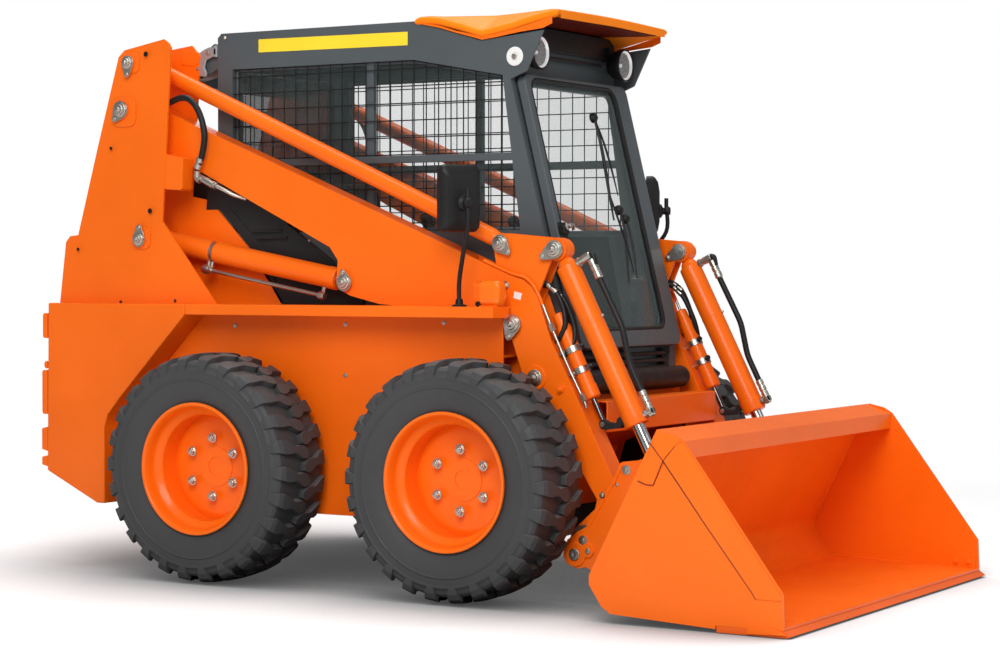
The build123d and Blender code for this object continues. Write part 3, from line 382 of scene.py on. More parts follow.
def lathe(bm, centre, axis, profile, segs=32, closed=False, turn=0.0):
    """Turns (radius, along the axis) points, in millimetres, about an axis."""
    turned = frame_of(axis)
    rings = []
    for r, h in profile:
        if r < 1e-6:
            rings.append([bm.verts.new(centre + turned @ Vector((0, 0, h * MM)))])
            continue
        ring = []
        for i in range(segs):
            a = 2 * pi * i / segs + turn
            ring.append(bm.verts.new(centre + turned @ Vector((r * cos(a) * MM, r * sin(a) * MM, h * MM))))
        rings.append(ring)
    pairs = list(zip(rings, rings[1:]))
    if closed:
        pairs.append((rings[-1], rings[0]))
    for low, high in pairs:
        for i in range(max(len(low), len(high))):
            j = (i + 1) % segs
            corners = [low[i % len(low)], low[j % len(low)], high[j % len(high)], high[i % len(high)]]
            corners = list(dict.fromkeys(corners))
            if len(corners) > 2:
                bm.faces.new(corners)
    if not closed:
        for ring in (rings[0], rings[-1]):
            if len(ring) > 2:
                bm.faces.new(ring)


def prism(bm, points, y0, y1):
    """A side-view outline between two y values."""
    near = [bm.verts.new(at(x, z, y0)) for x, z in points]
    far = [bm.verts.new(at(x, z, y1)) for x, z in points]
    bm.faces.new(near)
    bm.faces.new(far[::-1])
    for i in range(len(points)):
        j = (i + 1) % len(points)
        bm.faces.new((near[i], far[i], far[j], near[j]))


def loft(bm, rows, ends=True):
    """Joins rings of points in order, and closes the ends."""
    rings = [[bm.verts.new(point) for point in row] for row in rows]
    for low, high in zip(rings, rings[1:]):
        for k in range(len(low)):
            j = (k + 1) % len(low)
            bm.faces.new((low[k], low[j], high[j], high[k]))
    if ends:
        bm.faces.new(rings[0][::-1])
        bm.faces.new(rings[-1])


def slab(bm, x0, x1, z0, z1, y0, y1):
    """A box between two values of each coordinate."""
    prism(bm, ((x0, z0), (x1, z0), (x1, z1), (x0, z1)), y0, y1)


def block(bm, centre, size, turned=Matrix.Identity(3)):
    """A box of a size in millimetres, turned about its centre."""
    made = bmesh.ops.create_cube(bm, size=1.0)["verts"]
    for v in made:
        v.co = centre + turned @ Vector([c * s * MM for c, s in zip(v.co, size)])


def smooth_line(points, steps=6):
    """Points on a smooth line through the given ones."""
    ends = [points[0] * 2 - points[1], *points, points[-1] * 2 - points[-2]]
    line = []
    for a, b, c, d in zip(ends, ends[1:], ends[2:], ends[3:]):
        for i in range(steps):
            t = i / steps
            curve = (2 * a - 5 * b + 4 * c - d) * t * t + (3 * b - a - 3 * c + d) * t ** 3
            line.append(0.5 * (2 * b + (c - a) * t + curve))
    return line + [points[-1]]


def tube(bm, points, r, segs=12, radii=None):
    """A round tube along points in metres."""
    side = vec((points[1] - points[0]).orthogonal())
    rings = []
    for i, p in enumerate(points):
        ahead = vec(points[min(i + 1, len(points) - 1)] - points[max(i - 1, 0)])
        side = vec(side - ahead * side.dot(ahead))
        across = ahead.cross(side)
        size = (radii[i] if radii else r) * MM
        turns = [2 * pi * k / segs for k in range(segs)]
        rings.append([p + (side * cos(a) + across * sin(a)) * size for a in turns])
    loft(bm, rings)


def side_tube(bm, points, y, r, segs=12, smooth=True):
    """A tube along side-view points, (x, z) at one y or (x, z, y) each."""
    line = [at(p[0], p[1], p[2] if len(p) > 2 else y) for p in points]
    tube(bm, smooth_line(line) if smooth else line, r, segs)


def bolt(bm, centre, axis, across=19.0, washer=15.0, turn=0.3):
    """A hexagon head on its washer."""
    r = across / sqrt(3)
    lathe(bm, centre, axis, [(washer - 1, 0), (washer, 0.8), (washer, 2.2), (washer - 1, 3), (0, 3)], 28)
    lathe(bm, centre, axis, [(r, 2.8), (r, across * 0.52), (r - 1.6, across * 0.62), (0, across * 0.62)], 6,
        turn=turn)


def added(name, mesh):
    """A new object in the scene."""
    obj = bpy.data.objects.new(name, mesh)
    bpy.context.scene.collection.objects.link(obj)
    return obj


def baked(obj):
    """An object's mesh with its modifiers applied."""
    bpy.context.view_layer.update()
    return bpy.data.meshes.new_from_object(obj.evaluated_get(bpy.context.evaluated_depsgraph_get()))


def meshes(count):
    """Empty meshes to draw in."""
    return [bmesh.new() for _ in range(count)]


def finish(name, bm, mat, body="chassis", bevel=0.0, segs=2, angle=32, replaces=None, sharp=40):
    """Makes the piece: cleaned mesh, bevelled edges, material and body."""
    bmesh.ops.recalc_face_normals(bm, faces=bm.faces)
    for face in bm.faces:
        face.smooth = True
    for edge in bm.edges:
        edge.smooth = len(edge.link_faces) == 2 and edge.calc_face_angle(0) < radians(sharp)
    mesh = bpy.data.meshes.new(name)
    bm.to_mesh(mesh)
    bm.free()
    obj = added(name, mesh)
    mesh.materials.append(mat)
    if bevel:
        rounded = obj.modifiers.new("edges", "BEVEL")
        rounded.width = bevel * MM
        rounded.segments = segs
        rounded.limit_method = "ANGLE"
        rounded.angle_limit = radians(angle)
        rounded.use_clamp_overlap = True
        rounded.harden_normals = True
    weighted = obj.modifiers.new("normals", "WEIGHTED_NORMAL")
    weighted.keep_sharp = not bevel
    if body:
        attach(obj, body)
    if replaces:
        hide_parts(replaces)
    return obj


def node_mesh(node):
    """A CAD node's mesh with its triangles joined into whole faces."""
    bm = bmesh.new()
    bm.from_mesh(nodes[node].data)
    bmesh.ops.remove_doubles(bm, verts=bm.verts, dist=2e-5)
    bmesh.ops.dissolve_limit(bm, angle_limit=radians(1.0), verts=bm.verts, edges=bm.edges)
    return bm


def refined(node, mat, bevel, segs):
    """A CAD node with rounded edges, in its place."""
    return finish(node + "_shape", node_mesh(node), mat, node_body[node], bevel=bevel, segs=segs,
        replaces=node)


# ---------------------------------------------------------------- wheels
CARCASS = (
    # out from the mid-plane, radius
    (102, 211), (106, 226), (115, 243), (122, 262), (127, 284), (128.5, 294), (131, 297), (131, 300),
    (128.8, 303), (128.5, 322), (130.2, 326), (130, 330), (124, 338), (120, 350), (112, 358), (98, 362),
    (60, 364.5), (0, 366),
)
LUG = (
    # outer point (out, radius), inner point, half width, how far round
    ((130.8, 329), (120, 331), 15, 0), ((129.8, 350), (114, 345), 19, 0), ((121, 368), (106, 352), 22, 0),
    ((108, 376.5), (98, 358), 24, 2), ((90, 381), (90, 359), 24, 6), ((74, 383), (74, 361), 19, 10),
    ((58, 384.6), (58, 362), 13.5, 15), ((45, 385.4), (45, 362), 13.5, 19), ((31, 386), (31, 363), 20, 23),
    ((13, 386.3), (13, 363), 23, 27), ((-4, 386.3), (-4, 363), 19, 30), ((-14, 386), (-14, 363), 10, 32),
)
LUGS_A_SIDE = 26


def wheel_point(u, r, a):
    """Out, radius and angle on a wheel whose axis is +Y, in metres."""
    return Vector((r * cos(a) * MM, u * MM, r * sin(a) * MM))


def lug_mesh():
    """One lug of the outer half, with bevelled edges."""
    bm = bmesh.new()
    rows = []
    for (uo, ro), (ui, ri), half, shift in LUG:
        corners = ((uo, ro, half), (uo, ro, -half), (ui, ri, -half - 3), (ui, ri, half + 3))
        rows.append([wheel_point(u, r, (shift + w) / TYRE_R) for u, r, w in corners])
    loft(bm, rows)
    bmesh.ops.recalc_face_normals(bm, faces=bm.faces)
    outer = {v for v in bm.verts if hypot(v.co.x, v.co.z) > 0.372 or abs(v.co.y) > 0.12}
    top = [e for e in bm.edges if e.calc_face_angle(0) > radians(35) and outer.issuperset(e.verts)]
    bmesh.ops.bevel(bm, geom=top, offset=1.8 * MM, segments=2, profile=0.6, affect="EDGES",
        clamp_overlap=True)
    return bm


def tyre_mesh():
    """A carcass turned from its section, with a ring of lugs on each half."""
    bm = bmesh.new()
    section = [(r, u) for u, r in CARCASS] + [(r, -u) for u, r in CARCASS[-2::-1]]
    lathe(bm, Vector((0, 0, 0)), (0, 1, 0), section, 104, closed=True)
    one = lug_mesh()
    for half in SIDES:
        for i in range(LUGS_A_SIDE):
            a = 2 * pi * (i + (0.5 if half < 0 else 0)) / LUGS_A_SIDE
            turned = Matrix.Rotation(a, 3, "Y")
            flip = Matrix.Diagonal((1, half, 1))
            copies = {v: bm.verts.new(turned @ (flip @ v.co)) for v in one.verts}
            for face in one.faces:
                bm.faces.new([copies[v] for v in face.verts])
    one.free()
    return bm


# rim sections: radius, out from the mid-plane
BARREL = ((218, 120), (213, 119), (209.5, 114), (206, 106), (204, 96), (203, 82), (199, 74), (189, 66),
    (181, 60), (178.5, 54))
DISC_FACE = ((178.4, -2), (176, -4), (172.5, -1), (169, 7), (165, 12), (160, 13), (84, 13), (80.5, 16.5),
    (76, 17), (72, 13.5), (38, 13), (35.5, 7), (32, 5), (12, 5), (11, 1), (0, 1))


def rim_mesh():
    """The rim's barrel and its hub."""
    bm = bmesh.new()
    back = [(r, -h) for r, h in BARREL[::-1]]
    outside = [(221.5, -118), (222.5, -112), (218, -110), (210.5, -106), (210, -80), (187, -62), (187, 62),
        (210, 80), (210.5, 106), (218, 110), (222.5, 112), (221.5, 118)]
    lathe(bm, Vector((0, 0, 0)), (0, 1, 0), [*BARREL, *back, *outside], 96, closed=True)
    lathe(bm, Vector((0, 0, 0)), (0, 1, 0), [(68, -4), (68, -68), (64, -74), (31, -74), (31, -4)], 48,
        closed=True)
    return bm


def carve(bm, cutter):
    """What is left of a solid outside a cutter, as a mesh."""
    made = []
    for name, source in (("solid", bm), ("cutter", cutter)):
        bmesh.ops.recalc_face_normals(source, faces=source.faces)
        mesh = bpy.data.meshes.new(name)
        source.to_mesh(mesh)
        source.free()
        made.append(added(name, mesh))
    cut = made[0].modifiers.new("cut", "BOOLEAN")
    cut.object = made[1]
    cut.operation = "DIFFERENCE"
    cut.solver = "EXACT"
    done = baked(made[0])
    for obj in made:
        bpy.data.objects.remove(obj)
    return done


SLOT_R = 168.5


def disc_plate():
    """The wheel's dished disc with its three edge slots cut through, as a mesh."""
    bm = bmesh.new()
    lathe(bm, Vector((0, 0, 0)), (0, 1, 0), [*DISC_FACE, (0, -7), (155, -7), (166, -9), (178.4, -13)], 96)
    cutter = bmesh.new()
    for middle in (187, 293, 82):
        rows = []
        for i in range(13):
            a = radians(middle - 17 + 34 * i / 12)
            thick = 6.5 * sin(pi * (i + 0.6) / 13.2) ** 0.5
            corners = ((30, thick), (30, -thick), (-30, -thick), (-30, thick))
            rows.append([wheel_point(u, SLOT_R + w, -a) for u, w in corners])
        loft(cutter, rows)
    return carve(bm, cutter)


def wheel_bolts():
    """Six nuts, each with the end of its stud."""
    bm = bmesh.new()
    for i in range(6):
        a = radians(30 + 60 * i)
        bolt(bm, wheel_point(13, 99, a), (0, 1, 0), 23, 17, turn=a)
        lathe(bm, wheel_point(26, 99, a), (0, 1, 0), [(6.5, 0), (6.5, 4), (5.2, 5.5), (0, 5.5)], 14)
    return bm


disc_mesh = disc_plate()
for end, x in (("rear", 0.0), ("front", WHEELBASE)):
    for hand, s in (("right", -1), ("left", 1)):
        body = f"wheel_{end}_{hand}"
        outward = Matrix.Rotation(0 if s > 0 else pi, 4, "Z")
        place = Matrix.Translation(at(x, AXLE_Z / MM, s * WHEEL_Y)) @ outward
        tyre = tyre_mesh()
        tyre.transform(place)
        finish(f"tyre_{end}_{hand}_tread", tyre, tread, body, sharp=17, replaces=f"tyre_{end}_{hand}")
        rim = rim_mesh()
        rim.from_mesh(disc_mesh)
        rim.transform(place)
        finish(f"rim_{end}_{hand}_pressed", rim, orange, body, sharp=50, replaces=f"wheel_rim_{end}_{hand}")
        studs = wheel_bolts()
        studs.transform(place)
        finish(f"wheel_bolts_{end}_{hand}", studs, zinc, body, bevel=0.6, segs=1)

# ---------------------------------------------------------------- plates of the machine
shapes = {}
plate_table = (
    # node, material, bevel, segments
    ("main_frame", deep_orange, 2.0, 2), ("side_boxes", orange, 5.0, 3), ("fenders", orange, 2.4, 2),
    ("towers", orange, 2.0, 2), ("engine_hood", orange, 2.0, 2), ("rear_frame", orange, 3.0, 2),
    ("rear_door", orange, 2.5, 2), ("arms", orange, 2.6, 2), ("arm_crossmember", orange, 4.0, 2),
    ("levelling_levers", orange, 2.0, 2), ("hitch", orange, 2.0, 2), ("bucket", orange, 2.2, 2),
    ("cab_frame", grey, 7.0, 3), ("tower_bridge", grey, 4.0, 2), ("axle_housings", black, 3.0, 2),
    ("engine_block", engine_paint, 4.0, 2), ("rear_door_hinges", black, 1.0, 1),
    ("door_hinges", black, 1.0, 1), ("arm_consoles", plastic, 8.0, 3), ("cutting_edge", steel_edge, 1.2, 1),
    ("side_panels", black, 2.0, 2),
)
for node, mat, bevel, segs in plate_table:
    shapes[node] = refined(node, mat, bevel, segs)
carried_table = (
    # node, material
    ("cab_windows", glass), ("lift_rods", chrome), ("tilt_rods", chrome), ("arm_pins", zinc),
    ("lever_pins", zinc), ("tilt_bushes", zinc), ("hitch_bushes", zinc), ("tilt_hoses", rubber),
)
for node, mat in carried_table:
    data = nodes[node].data
    data.materials.clear()
    data.materials.append(mat)

# ---------------------------------------------------------------- cab
DOOR_LEAN = atan2(0.2514, 1)
DOOR_FOOT = (1227.7, 790.0)
DOOR_OUT = (cos(DOOR_LEAN), 0, sin(DOOR_LEAN))
WINDOW = ((-127, 1181), (-127, 1750), (623, 1750), (972, 1685), (1040, 1181))


def on_door(y, up, out):
    """A point on the raked door: y, distance up it and out of it."""
    return at(DOOR_FOOT[0] - up * sin(DOOR_LEAN) + out * cos(DOOR_LEAN),
        DOOR_FOOT[1] + up * cos(DOOR_LEAN) + out * sin(DOOR_LEAN), y)


def crossings(polygon, axis, value):
    """Where a line at one x or z crosses a polygon."""
    found = []
    for a, b in zip(polygon, (*polygon[1:], polygon[0])):
        if (a[axis] - value) * (b[axis] - value) < 0:
            t = (value - a[axis]) / (b[axis] - a[axis])
            found.append(a[1 - axis] + t * (b[1 - axis] - a[1 - axis]))
    return sorted(found)


# wire mesh and sash bars of the side and rear windows
grille, bars = meshes(2)
for s in SIDES:
    y = s * 366
    for i in range(24):
        x = -104 + 48.5 * i
        low, high = crossings(WINDOW, 0, x)
        side_tube(grille, ((x, low + 1), (x, high - 1)), y, 2.1, 6, False)
    for i in range(10):
        z = 1208 + 57 * i
        low, high = crossings(WINDOW, 1, z)
        side_tube(grille, ((low + 1, z), (high - 1, z)), y + s * 3.4, 2.1, 6, False)
    # sash bars and the inner lip of each window
    prism(bars, ((427, 1181), (457, 1181), (457, 1750), (427, 1750)), s * 340, s * 360)
    prism(bars, ((-127, 1409), (1012, 1409), (1008, 1433), (-127, 1433)), s * 346, s * 372.5)
    side_tube(bars, ((-122, 1186), (-122, 1745), (621, 1745), (967, 1681), (1034, 1186), (-122, 1186)),
        s * 352, 6, 8, False)
for i in range(11):
    y = -262 + 52.4 * i
    side_tube(grille, ((-196, 1372, y), (-196, 1748, y)), 0, 2.1, 6, False)
for i in range(7):
    side_tube(grille, ((-199, 1380 + 60 * i, -278), (-199, 1380 + 60 * i, 278)), 0, 2.1, 6, False)
finish("window_grilles", grille, wire_and_hole_shade_black)
finish("window_sashes", bars, grey, bevel=1.5)

# stripes, pivot discs and bolts on the cab's sides
stripes, discs, cab_bolts = meshes(3)
for s in SIDES:
    prism(stripes, ((-13, 1804), (-13, 1849), (604, 1844), (604, 1799)), s * CAB_SIDE, s * (CAB_SIDE + 1.1))
    lathe(discs, at(1020, 1743, s * (CAB_SIDE + 0.2)), (0, s, 0), [(30, 0), (31, 1), (31, 3.2), (29, 4.5),
        (13, 4.5), (11, 3), (0, 3)], 40)
    lathe(cab_bolts, at(1020, 1743, s * (CAB_SIDE + 3)), (0, s, 0), [(9, 0), (9, 6), (7, 8), (3, 8), (2.5, 5),
        (0, 5)], 24)
    for x, z in ((-160, 1862), (-160, 700), (200, 1150), (700, 1150)):
        bolt(cab_bolts, at(x, z, s * CAB_SIDE), (0, s, 0), 9, 7)
finish("cab_side_stripes", stripes, yellow, bevel=0.3, segs=1)
finish("visor_pivot_discs", discs, label, sharp=30)
finish("cab_bolts", cab_bolts, zinc, sharp=30)

# moulded visor: a dished cap whose rolled edge dips to a V at each side
VISOR_HALF = 383.0
CAP_TOP = 1890.0
visor = bmesh.new()
visor_table = (
    # x, top of the rolled edge, fold's distance from the side, roll radius
    (636, 1879, 4, 5), (640, 1885, 5, 10), (652, 1891, 6, 14), (688, 1892, 12, 15), (729, 1887, 30, 15),
    (772, 1876, 48, 15), (820, 1862, 66, 15), (858, 1850, 80, 15), (880, 1842, 88, 15), (896, 1839, 90, 15),
    (914, 1841, 86, 15), (953, 1848, 76, 15), (1011, 1858, 58, 15), (1061, 1870, 42, 15),
    (1106, 1880, 26, 15), (1144, 1886, 12, 14), (1168, 1888, 6, 13), (1180, 1886, 5, 9), (1184, 1881, 4, 4),
)
rows = []
for x, top, fold, r in visor_table:
    mid = max(top, CAP_TOP) if 650 < x < 1165 else top
    inner = VISOR_HALF - r - fold
    low_in = VISOR_HALF - r - 6
    half = [(-low_in + (low_in - inner) * k / 6, top - 2 + (mid + 3 - top) * k / 6) for k in range(6)]
    half += [(-inner * (1 - k / 4), mid + 1 + 5 * sin(pi / 2 * k / 4)) for k in range(5)]
    turns = [pi / 2 + pi * k / 10 for k in range(11)]
    roll = [(r - VISOR_HALF + r * cos(a), top - r + r * sin(a)) for a in turns]
    under = [(r - VISOR_HALF + 12, top - 2 * r + 3), (-inner + 10, mid - 22), (0, mid - 18)]
    side = list(reversed(half)) + roll + under
    section = side + [(-y, z) for y, z in reversed(side[1:-1])]
    rows.append([at(x, z, y) for y, z in section])
loft(visor, rows)

# the cab's top is cut away above the cap's dip
shell = shapes["cab_frame"]
shell.modifiers.remove(shell.modifiers["normals"])
bevelled = bmesh.new()
bevelled.from_mesh(baked(shell))
dips = bmesh.new()
for s in SIDES:
    rows = []
    for x, top, fold, r in visor_table[3:-3]:
        mid = max(top, CAP_TOP)
        inner = VISOR_HALF - r - fold
        section = ((-392, top - 2 * r), (r - VISOR_HALF + 12, top - 2 * r + 3), (-inner + 10, mid - 22),
            (-inner + 10, 1950), (-392, 1950))
        rows.append([at(x, z, -s * y) for y, z in section])
    loft(dips, rows)
shell.data = carve(bevelled, dips)
shell.data.materials.clear()
shell.data.materials.append(grey)
shell.modifiers.clear()
for face in shell.data.polygons:
    face.use_smooth = True
weighted = shell.modifiers.new("normals", "WEIGHTED_NORMAL")
weighted.keep_sharp = True

# lips and front board of the visor, and under the cap a thin dark sheet in painted shade, standing in for the
# shadow there
lips = bmesh.new()
for s in SIDES:
    prism(lips, ((648, 1874), (729, 1858), (800, 1836), (860, 1822), (896, 1812), (953, 1820), (1035, 1834),
        (1126, 1856), (1160, 1866), (1160, 1842), (1126, 1829), (1035, 1820), (958, 1809), (897, 1802),
        (856, 1814), (801, 1829), (734, 1849), (650, 1868)), s * 377, s * 382)
finish("visor_cap", visor, visor_orange, sharp=60, replaces="roof_visor")
finish("visor_lips", lips, orange, bevel=1.0)
painted_shade_sheet = bmesh.new()
for x0, x1, half in ((700, 820, 345), (820, 1011, 300), (1011, 1160, 345)):
    slab(painted_shade_sheet, x0, x1, 1863, 1866, -half, half)
finish("visor_painted_shade_sheet", painted_shade_sheet, visor_painted_shade, bevel=1.0)
fascia = bmesh.new()
prism(fascia, ((984, 1780), (1002, 1780), (993, 1857), (963, 1857)), -346, 346)
prism(fascia, ((998, 1752), (1008, 1752), (1006, 1764), (996, 1764)), -236, 236)
finish("visor_fascia", fascia, black, bevel=2.0)

# headliner, dash and inner trim seen through the glass
trim = bmesh.new()
prism(trim, ((-146, 1812), (620, 1812), (870, 1740), (870, 1734), (620, 1806), (-146, 1806)), -330, 330)
for s in SIDES:
    prism(trim, ((-146, 660), (-146, 1170), (980, 1170), (1080, 700), (1080, 660)), s * 326, s * 333)
prism(trim, ((1050, 655), (1062, 655), (1040, 770), (1028, 770)), -320, 320)
finish("cab_trim", trim, plastic, bevel=2)

# work lights
housings, bowls, lenses = meshes(3)
for y in (-291, 291):
    c = at(1007, 1761, y)
    lathe(housings, c, (1, 0, 0), [(0, -2), (22, -2), (34, 6), (48, 26), (55, 44), (57, 52), (57, 62),
        (55, 65), (51, 65), (50, 60), (0, 22)], 44)
    lathe(bowls, c, (1, 0, 0), [(0, 30), (12, 31), (24, 36), (36, 45), (45, 57), (49.6, 62), (50, 62.6),
        (49, 58), (35, 42), (22, 32), (0, 26)], 44)
    lathe(bowls, c, (1, 0, 0), [(7, 30), (7, 44), (5, 47), (0, 47)], 16)
    lathe(lenses, c, (1, 0, 0), [(50.5, 59), (50.5, 61.5), (40, 64.5), (22, 66), (0, 66.5), ], 44)
    block(housings, at(1003, 1800, y), (26, 34, 50))
finish("work_light_shells", housings, plastic, sharp=35, replaces="work_lights")
finish("work_light_reflectors", bowls, reflector_painted_glow, sharp=50)
finish("work_light_lenses", lenses, lens, sharp=50)

# door: frame, pane, gaskets, wipers and latch
DOOR_HALF = 352.0
DOOR_TOP = 922.0
PANE = (-320, 262, 58, 905)    # y from and to, up the door from and to


def rounded(half_w, low, high, r, steps=5):
    """A rounded rectangle, from one corner round."""
    points = []
    for cx, cz, start in ((half_w - r, high - r, 0), (-half_w + r, high - r, 90), (-half_w + r, low + r, 180),
            (half_w - r, low + r, 270)):
        for i in range(steps + 1):
            a = radians(start + 90 * i / steps)
            points.append((cx + r * cos(a), cz + r * sin(a)))
    return points


def ring_on_door(bm, points, out, r, segs=8):
    """A closed cord round the door."""
    line = [on_door(y, up, out) for y, up in points]
    tube(bm, line + line[:2], r, segs)


def door_ring(half_low, half_high, low, high, r, grow=0.0):
    """A rounded outline on the door, wider on one side."""
    middle, half = (half_low + half_high) / 2, (half_high - half_low) / 2 + grow
    return [(middle + y, up) for y, up in rounded(half, low - grow, high + grow, r + grow, 6)]


frame_mesh = bmesh.new()
outer = door_ring(-DOOR_HALF, DOOR_HALF, 0, DOOR_TOP, 34)
eased = door_ring(-DOOR_HALF + 6, DOOR_HALF - 6, 6, DOOR_TOP - 6, 28)
inner = door_ring(*PANE, 46)
rows = ((inner, 6), (outer, 6), (outer, 33), (eased, 36), (door_ring(*PANE, 46, 4), 36), (inner, 30),
    (inner, 6))
loft(frame_mesh, [[on_door(y, up, out) for y, up in ring] for ring, out in rows], False)
bmesh.ops.remove_doubles(frame_mesh, verts=frame_mesh.verts, dist=1e-6)
finish("door_frame_shape", frame_mesh, grey, "cab_door", bevel=1.5, replaces="door_frame")
pane_mesh = bmesh.new()
loft(pane_mesh, [[on_door(y, up, out) for y, up in door_ring(*PANE, 46, -1)] for out in (14, 19)])
finish("door_pane", pane_mesh, glass, "cab_door", sharp=30, replaces="door_glass")
gasket = bmesh.new()
ring_on_door(gasket, inner, 28, 9)
ring_on_door(gasket, door_ring(-DOOR_HALF, DOOR_HALF, 0, DOOR_TOP, 34, -4), 5, 5)
finish("door_gaskets", gasket, rubber, "cab_door")

# dark pane of the rear window
rear_pane = bmesh.new()
loft(rear_pane, [[at(x, 1560 + w, v) for v, w in rounded(284, -186, 186, 30, 6)] for x in (-186, -181)])
finish("rear_window_pane", rear_pane, smoked, sharp=30)

# wipers and latch on the door
wipers = bmesh.new()
wiper_table = (
    # (y, up the door, out of it) points, radius
    (((60, 792, 40), (57, 690, 44), (46, 600, 46), (36, 520, 46), (24, 430, 48)), 6.0),
    (((60, 792, 40), (84, 690, 44), (96, 600, 44), (104, 520, 42)), 4.0),
    (((98, 470, 40), (92, 380, 44), (66, 300, 44), (40, 210, 44)), 5.0),
    (((36, 520, 46), (60, 420, 48), (84, 330, 46), (92, 250, 44)), 4.0),
    (((130, 440, 42), (122, 330, 46), (106, 230, 44)), 4.5),
)
for points, r in wiper_table:
    line = smooth_line([on_door(*p) for p in points], 5)
    shares = [min(1, (i + 2) / len(line)) for i in range(len(line))]
    tube(wipers, line, r, 8, radii=[r * (0.55 + 0.45 * sin(pi * share)) for share in shares])
for y, up in ((60, 792), (98, 470), (130, 440)):
    lathe(wipers, on_door(y, up, 30), DOOR_OUT, [(17, 0), (17, 10), (13, 16), (8, 20), (0, 20)], 24)
finish("door_wipers", wipers, plastic, "cab_door", sharp=35)
latch, latch_box = meshes(2)
block(latch_box, on_door(-331, 392, 46), (22, 34, 30), Matrix.Rotation(-DOOR_LEAN, 3, "Y"))
block(latch_box, on_door(-322, 392, 38), (8, 46, 54), Matrix.Rotation(-DOOR_LEAN, 3, "Y"))
lathe(latch, on_door(-326, 399, 56), DOOR_OUT, [(11, 0), (11, 4), (8, 7), (7, 14), (9, 17), (8, 20), (0, 20)],
    24)
lever_line = ((-326, 399, 68), (-314, 404, 72), (-302, 398, 70), (-296, 388, 64))
tube(latch, smooth_line([on_door(*point) for point in lever_line]), 4, 10)
finish("door_latch_box", latch_box, plastic, "cab_door", bevel=3, segs=3)
finish("door_latch", latch, zinc, "cab_door", sharp=35, replaces="door_handle")

# mirrors: shell with a rounded, faceted back, ball joint and bent stalk
mirror_low, mirror_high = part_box("mirrors")
mirror_x = (mirror_low.x + mirror_high.x) / 2 / MM - AXLE_X / MM
MIRROR_TURN = radians(28)
mirror_table = (
    # side, x and distance from the centre line of the mirror, x of its foot
    (-1, mirror_x, 568, mirror_x - 2), (1, mirror_x + 95, 574, mirror_x + 20),
)
shells, stalks, faces = meshes(3)
mirror_outline = rounded(72, -108, 108, 22, 6)


def on_mirror(x, out, s, ahead, across, up):
    """A point of a mirror turned towards the seat: ahead of its face, across it and up it."""
    turned_x = ahead * cos(MIRROR_TURN) + across * sin(MIRROR_TURN)
    turned_y = across * cos(MIRROR_TURN) - ahead * sin(MIRROR_TURN)
    return at(x + turned_x, 1280 + up, s * (out - turned_y))


for s, x, out, foot in mirror_table:
    layers = ((-11, 0.9), (-16, 0.93), (-14, 0.99), (6, 1.0), (16, 0.96), (28, 0.8), (34, 0.5))
    loft(shells, [[on_mirror(x, out, s, d, v * k, w * k) for v, w in mirror_outline] for d, k in layers])
    glass_outline = [(v * 0.88, w * 0.9) for v, w in mirror_outline]
    loft(faces, [[on_mirror(x, out, s, d, v, w) for v, w in glass_outline] for d in (-13.5, -10.0)])
    joint = on_mirror(x, out, s, 36, 0, -16)
    lathe(stalks, joint, (cos(MIRROR_TURN), s * sin(MIRROR_TURN), 0), [(26, -3), (24, 4), (13, 10), (12, 14),
        (16, 20), (17, 30), (12, 37), (0, 38)], 28)
    post = on_mirror(x, out, s, 58, 0, 0)
    line = [post + Vector((0, 0, 0.03)), post, post + Vector((0, 0, -0.09)),
        (post + at(foot, 936, s * 560)) / 2, at(foot, 936, s * 560) + Vector((0, 0, 0.08)),
        at(foot, 936, s * 560)]
    tube(stalks, smooth_line(line), 7.5, 12)
    lathe(stalks, at(foot, 934, s * 560), (0, 0, 1), [(24, 0), (24, 5), (13, 8), (11, 24), (0, 26)], 28)
finish("mirror_shells", shells, plastic, sharp=28, replaces="mirrors")
finish("mirror_glasses", faces, chrome, sharp=30)
finish("mirror_stalks", stalks, plastic, sharp=35)

# marker lamps on the ledge: a rounded lens between a base and a dark end cap
lamp_low, lamp_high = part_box("marker_lamps")
LAMP_Z = 977.0
lamp_x = (lamp_low.x + lamp_high.x) / 2 / MM - AXLE_X / MM
# x from the lamp's middle, share of its section
LENS_ROWS = ((-24, 0.86), (-22, 0.95), (-16, 1.0), (26, 1.0), (38, 0.96), (44, 0.86), (47, 0.68), (48, 0.4))
BASE_ROWS = ((-47, 0.6), (-46, 0.78), (-42, 0.86), (-27, 0.88), (-25, 0.84), (-23, 0.84))
marker_lenses, marker_bases, marker_grommets = meshes(3)
for s in SIDES:
    mid_y = s * 550
    section = rounded(29, -42, 42, 20, 6)
    for bm, rows in ((marker_lenses, LENS_ROWS), (marker_bases, BASE_ROWS)):
        loft(bm, [[at(lamp_x + d, LAMP_Z + w * k, mid_y + v * k) for v, w in section] for d, k in rows])
    for d in (-38, -31):
        ring = rounded(29 * 0.9, -42 * 0.9, 42 * 0.9, 18, 6)
        line = [at(lamp_x + d, LAMP_Z + w, mid_y + v) for v, w in ring]
        tube(marker_bases, line + line[:2], 1.6, 6)
    lathe(marker_grommets, at(lamp_x - 30, 943, mid_y + s * 22), (0, s, 0), [(9, -6), (9, 4), (7, 7), (4, 7),
        (3, 4), (0, 4)], 20)
    prism(marker_bases, ((lamp_x - 44, 934), (lamp_x + 40, 934), (lamp_x + 36, 939), (lamp_x - 40, 939)),
        s * 526, s * 576)
finish("marker_lamp_lenses", marker_lenses, amber, sharp=35, replaces="marker_lamps")
finish("marker_lamp_bases", marker_bases, deep_orange, sharp=35)
finish("marker_lamp_grommets", marker_grommets, rubber, sharp=35)

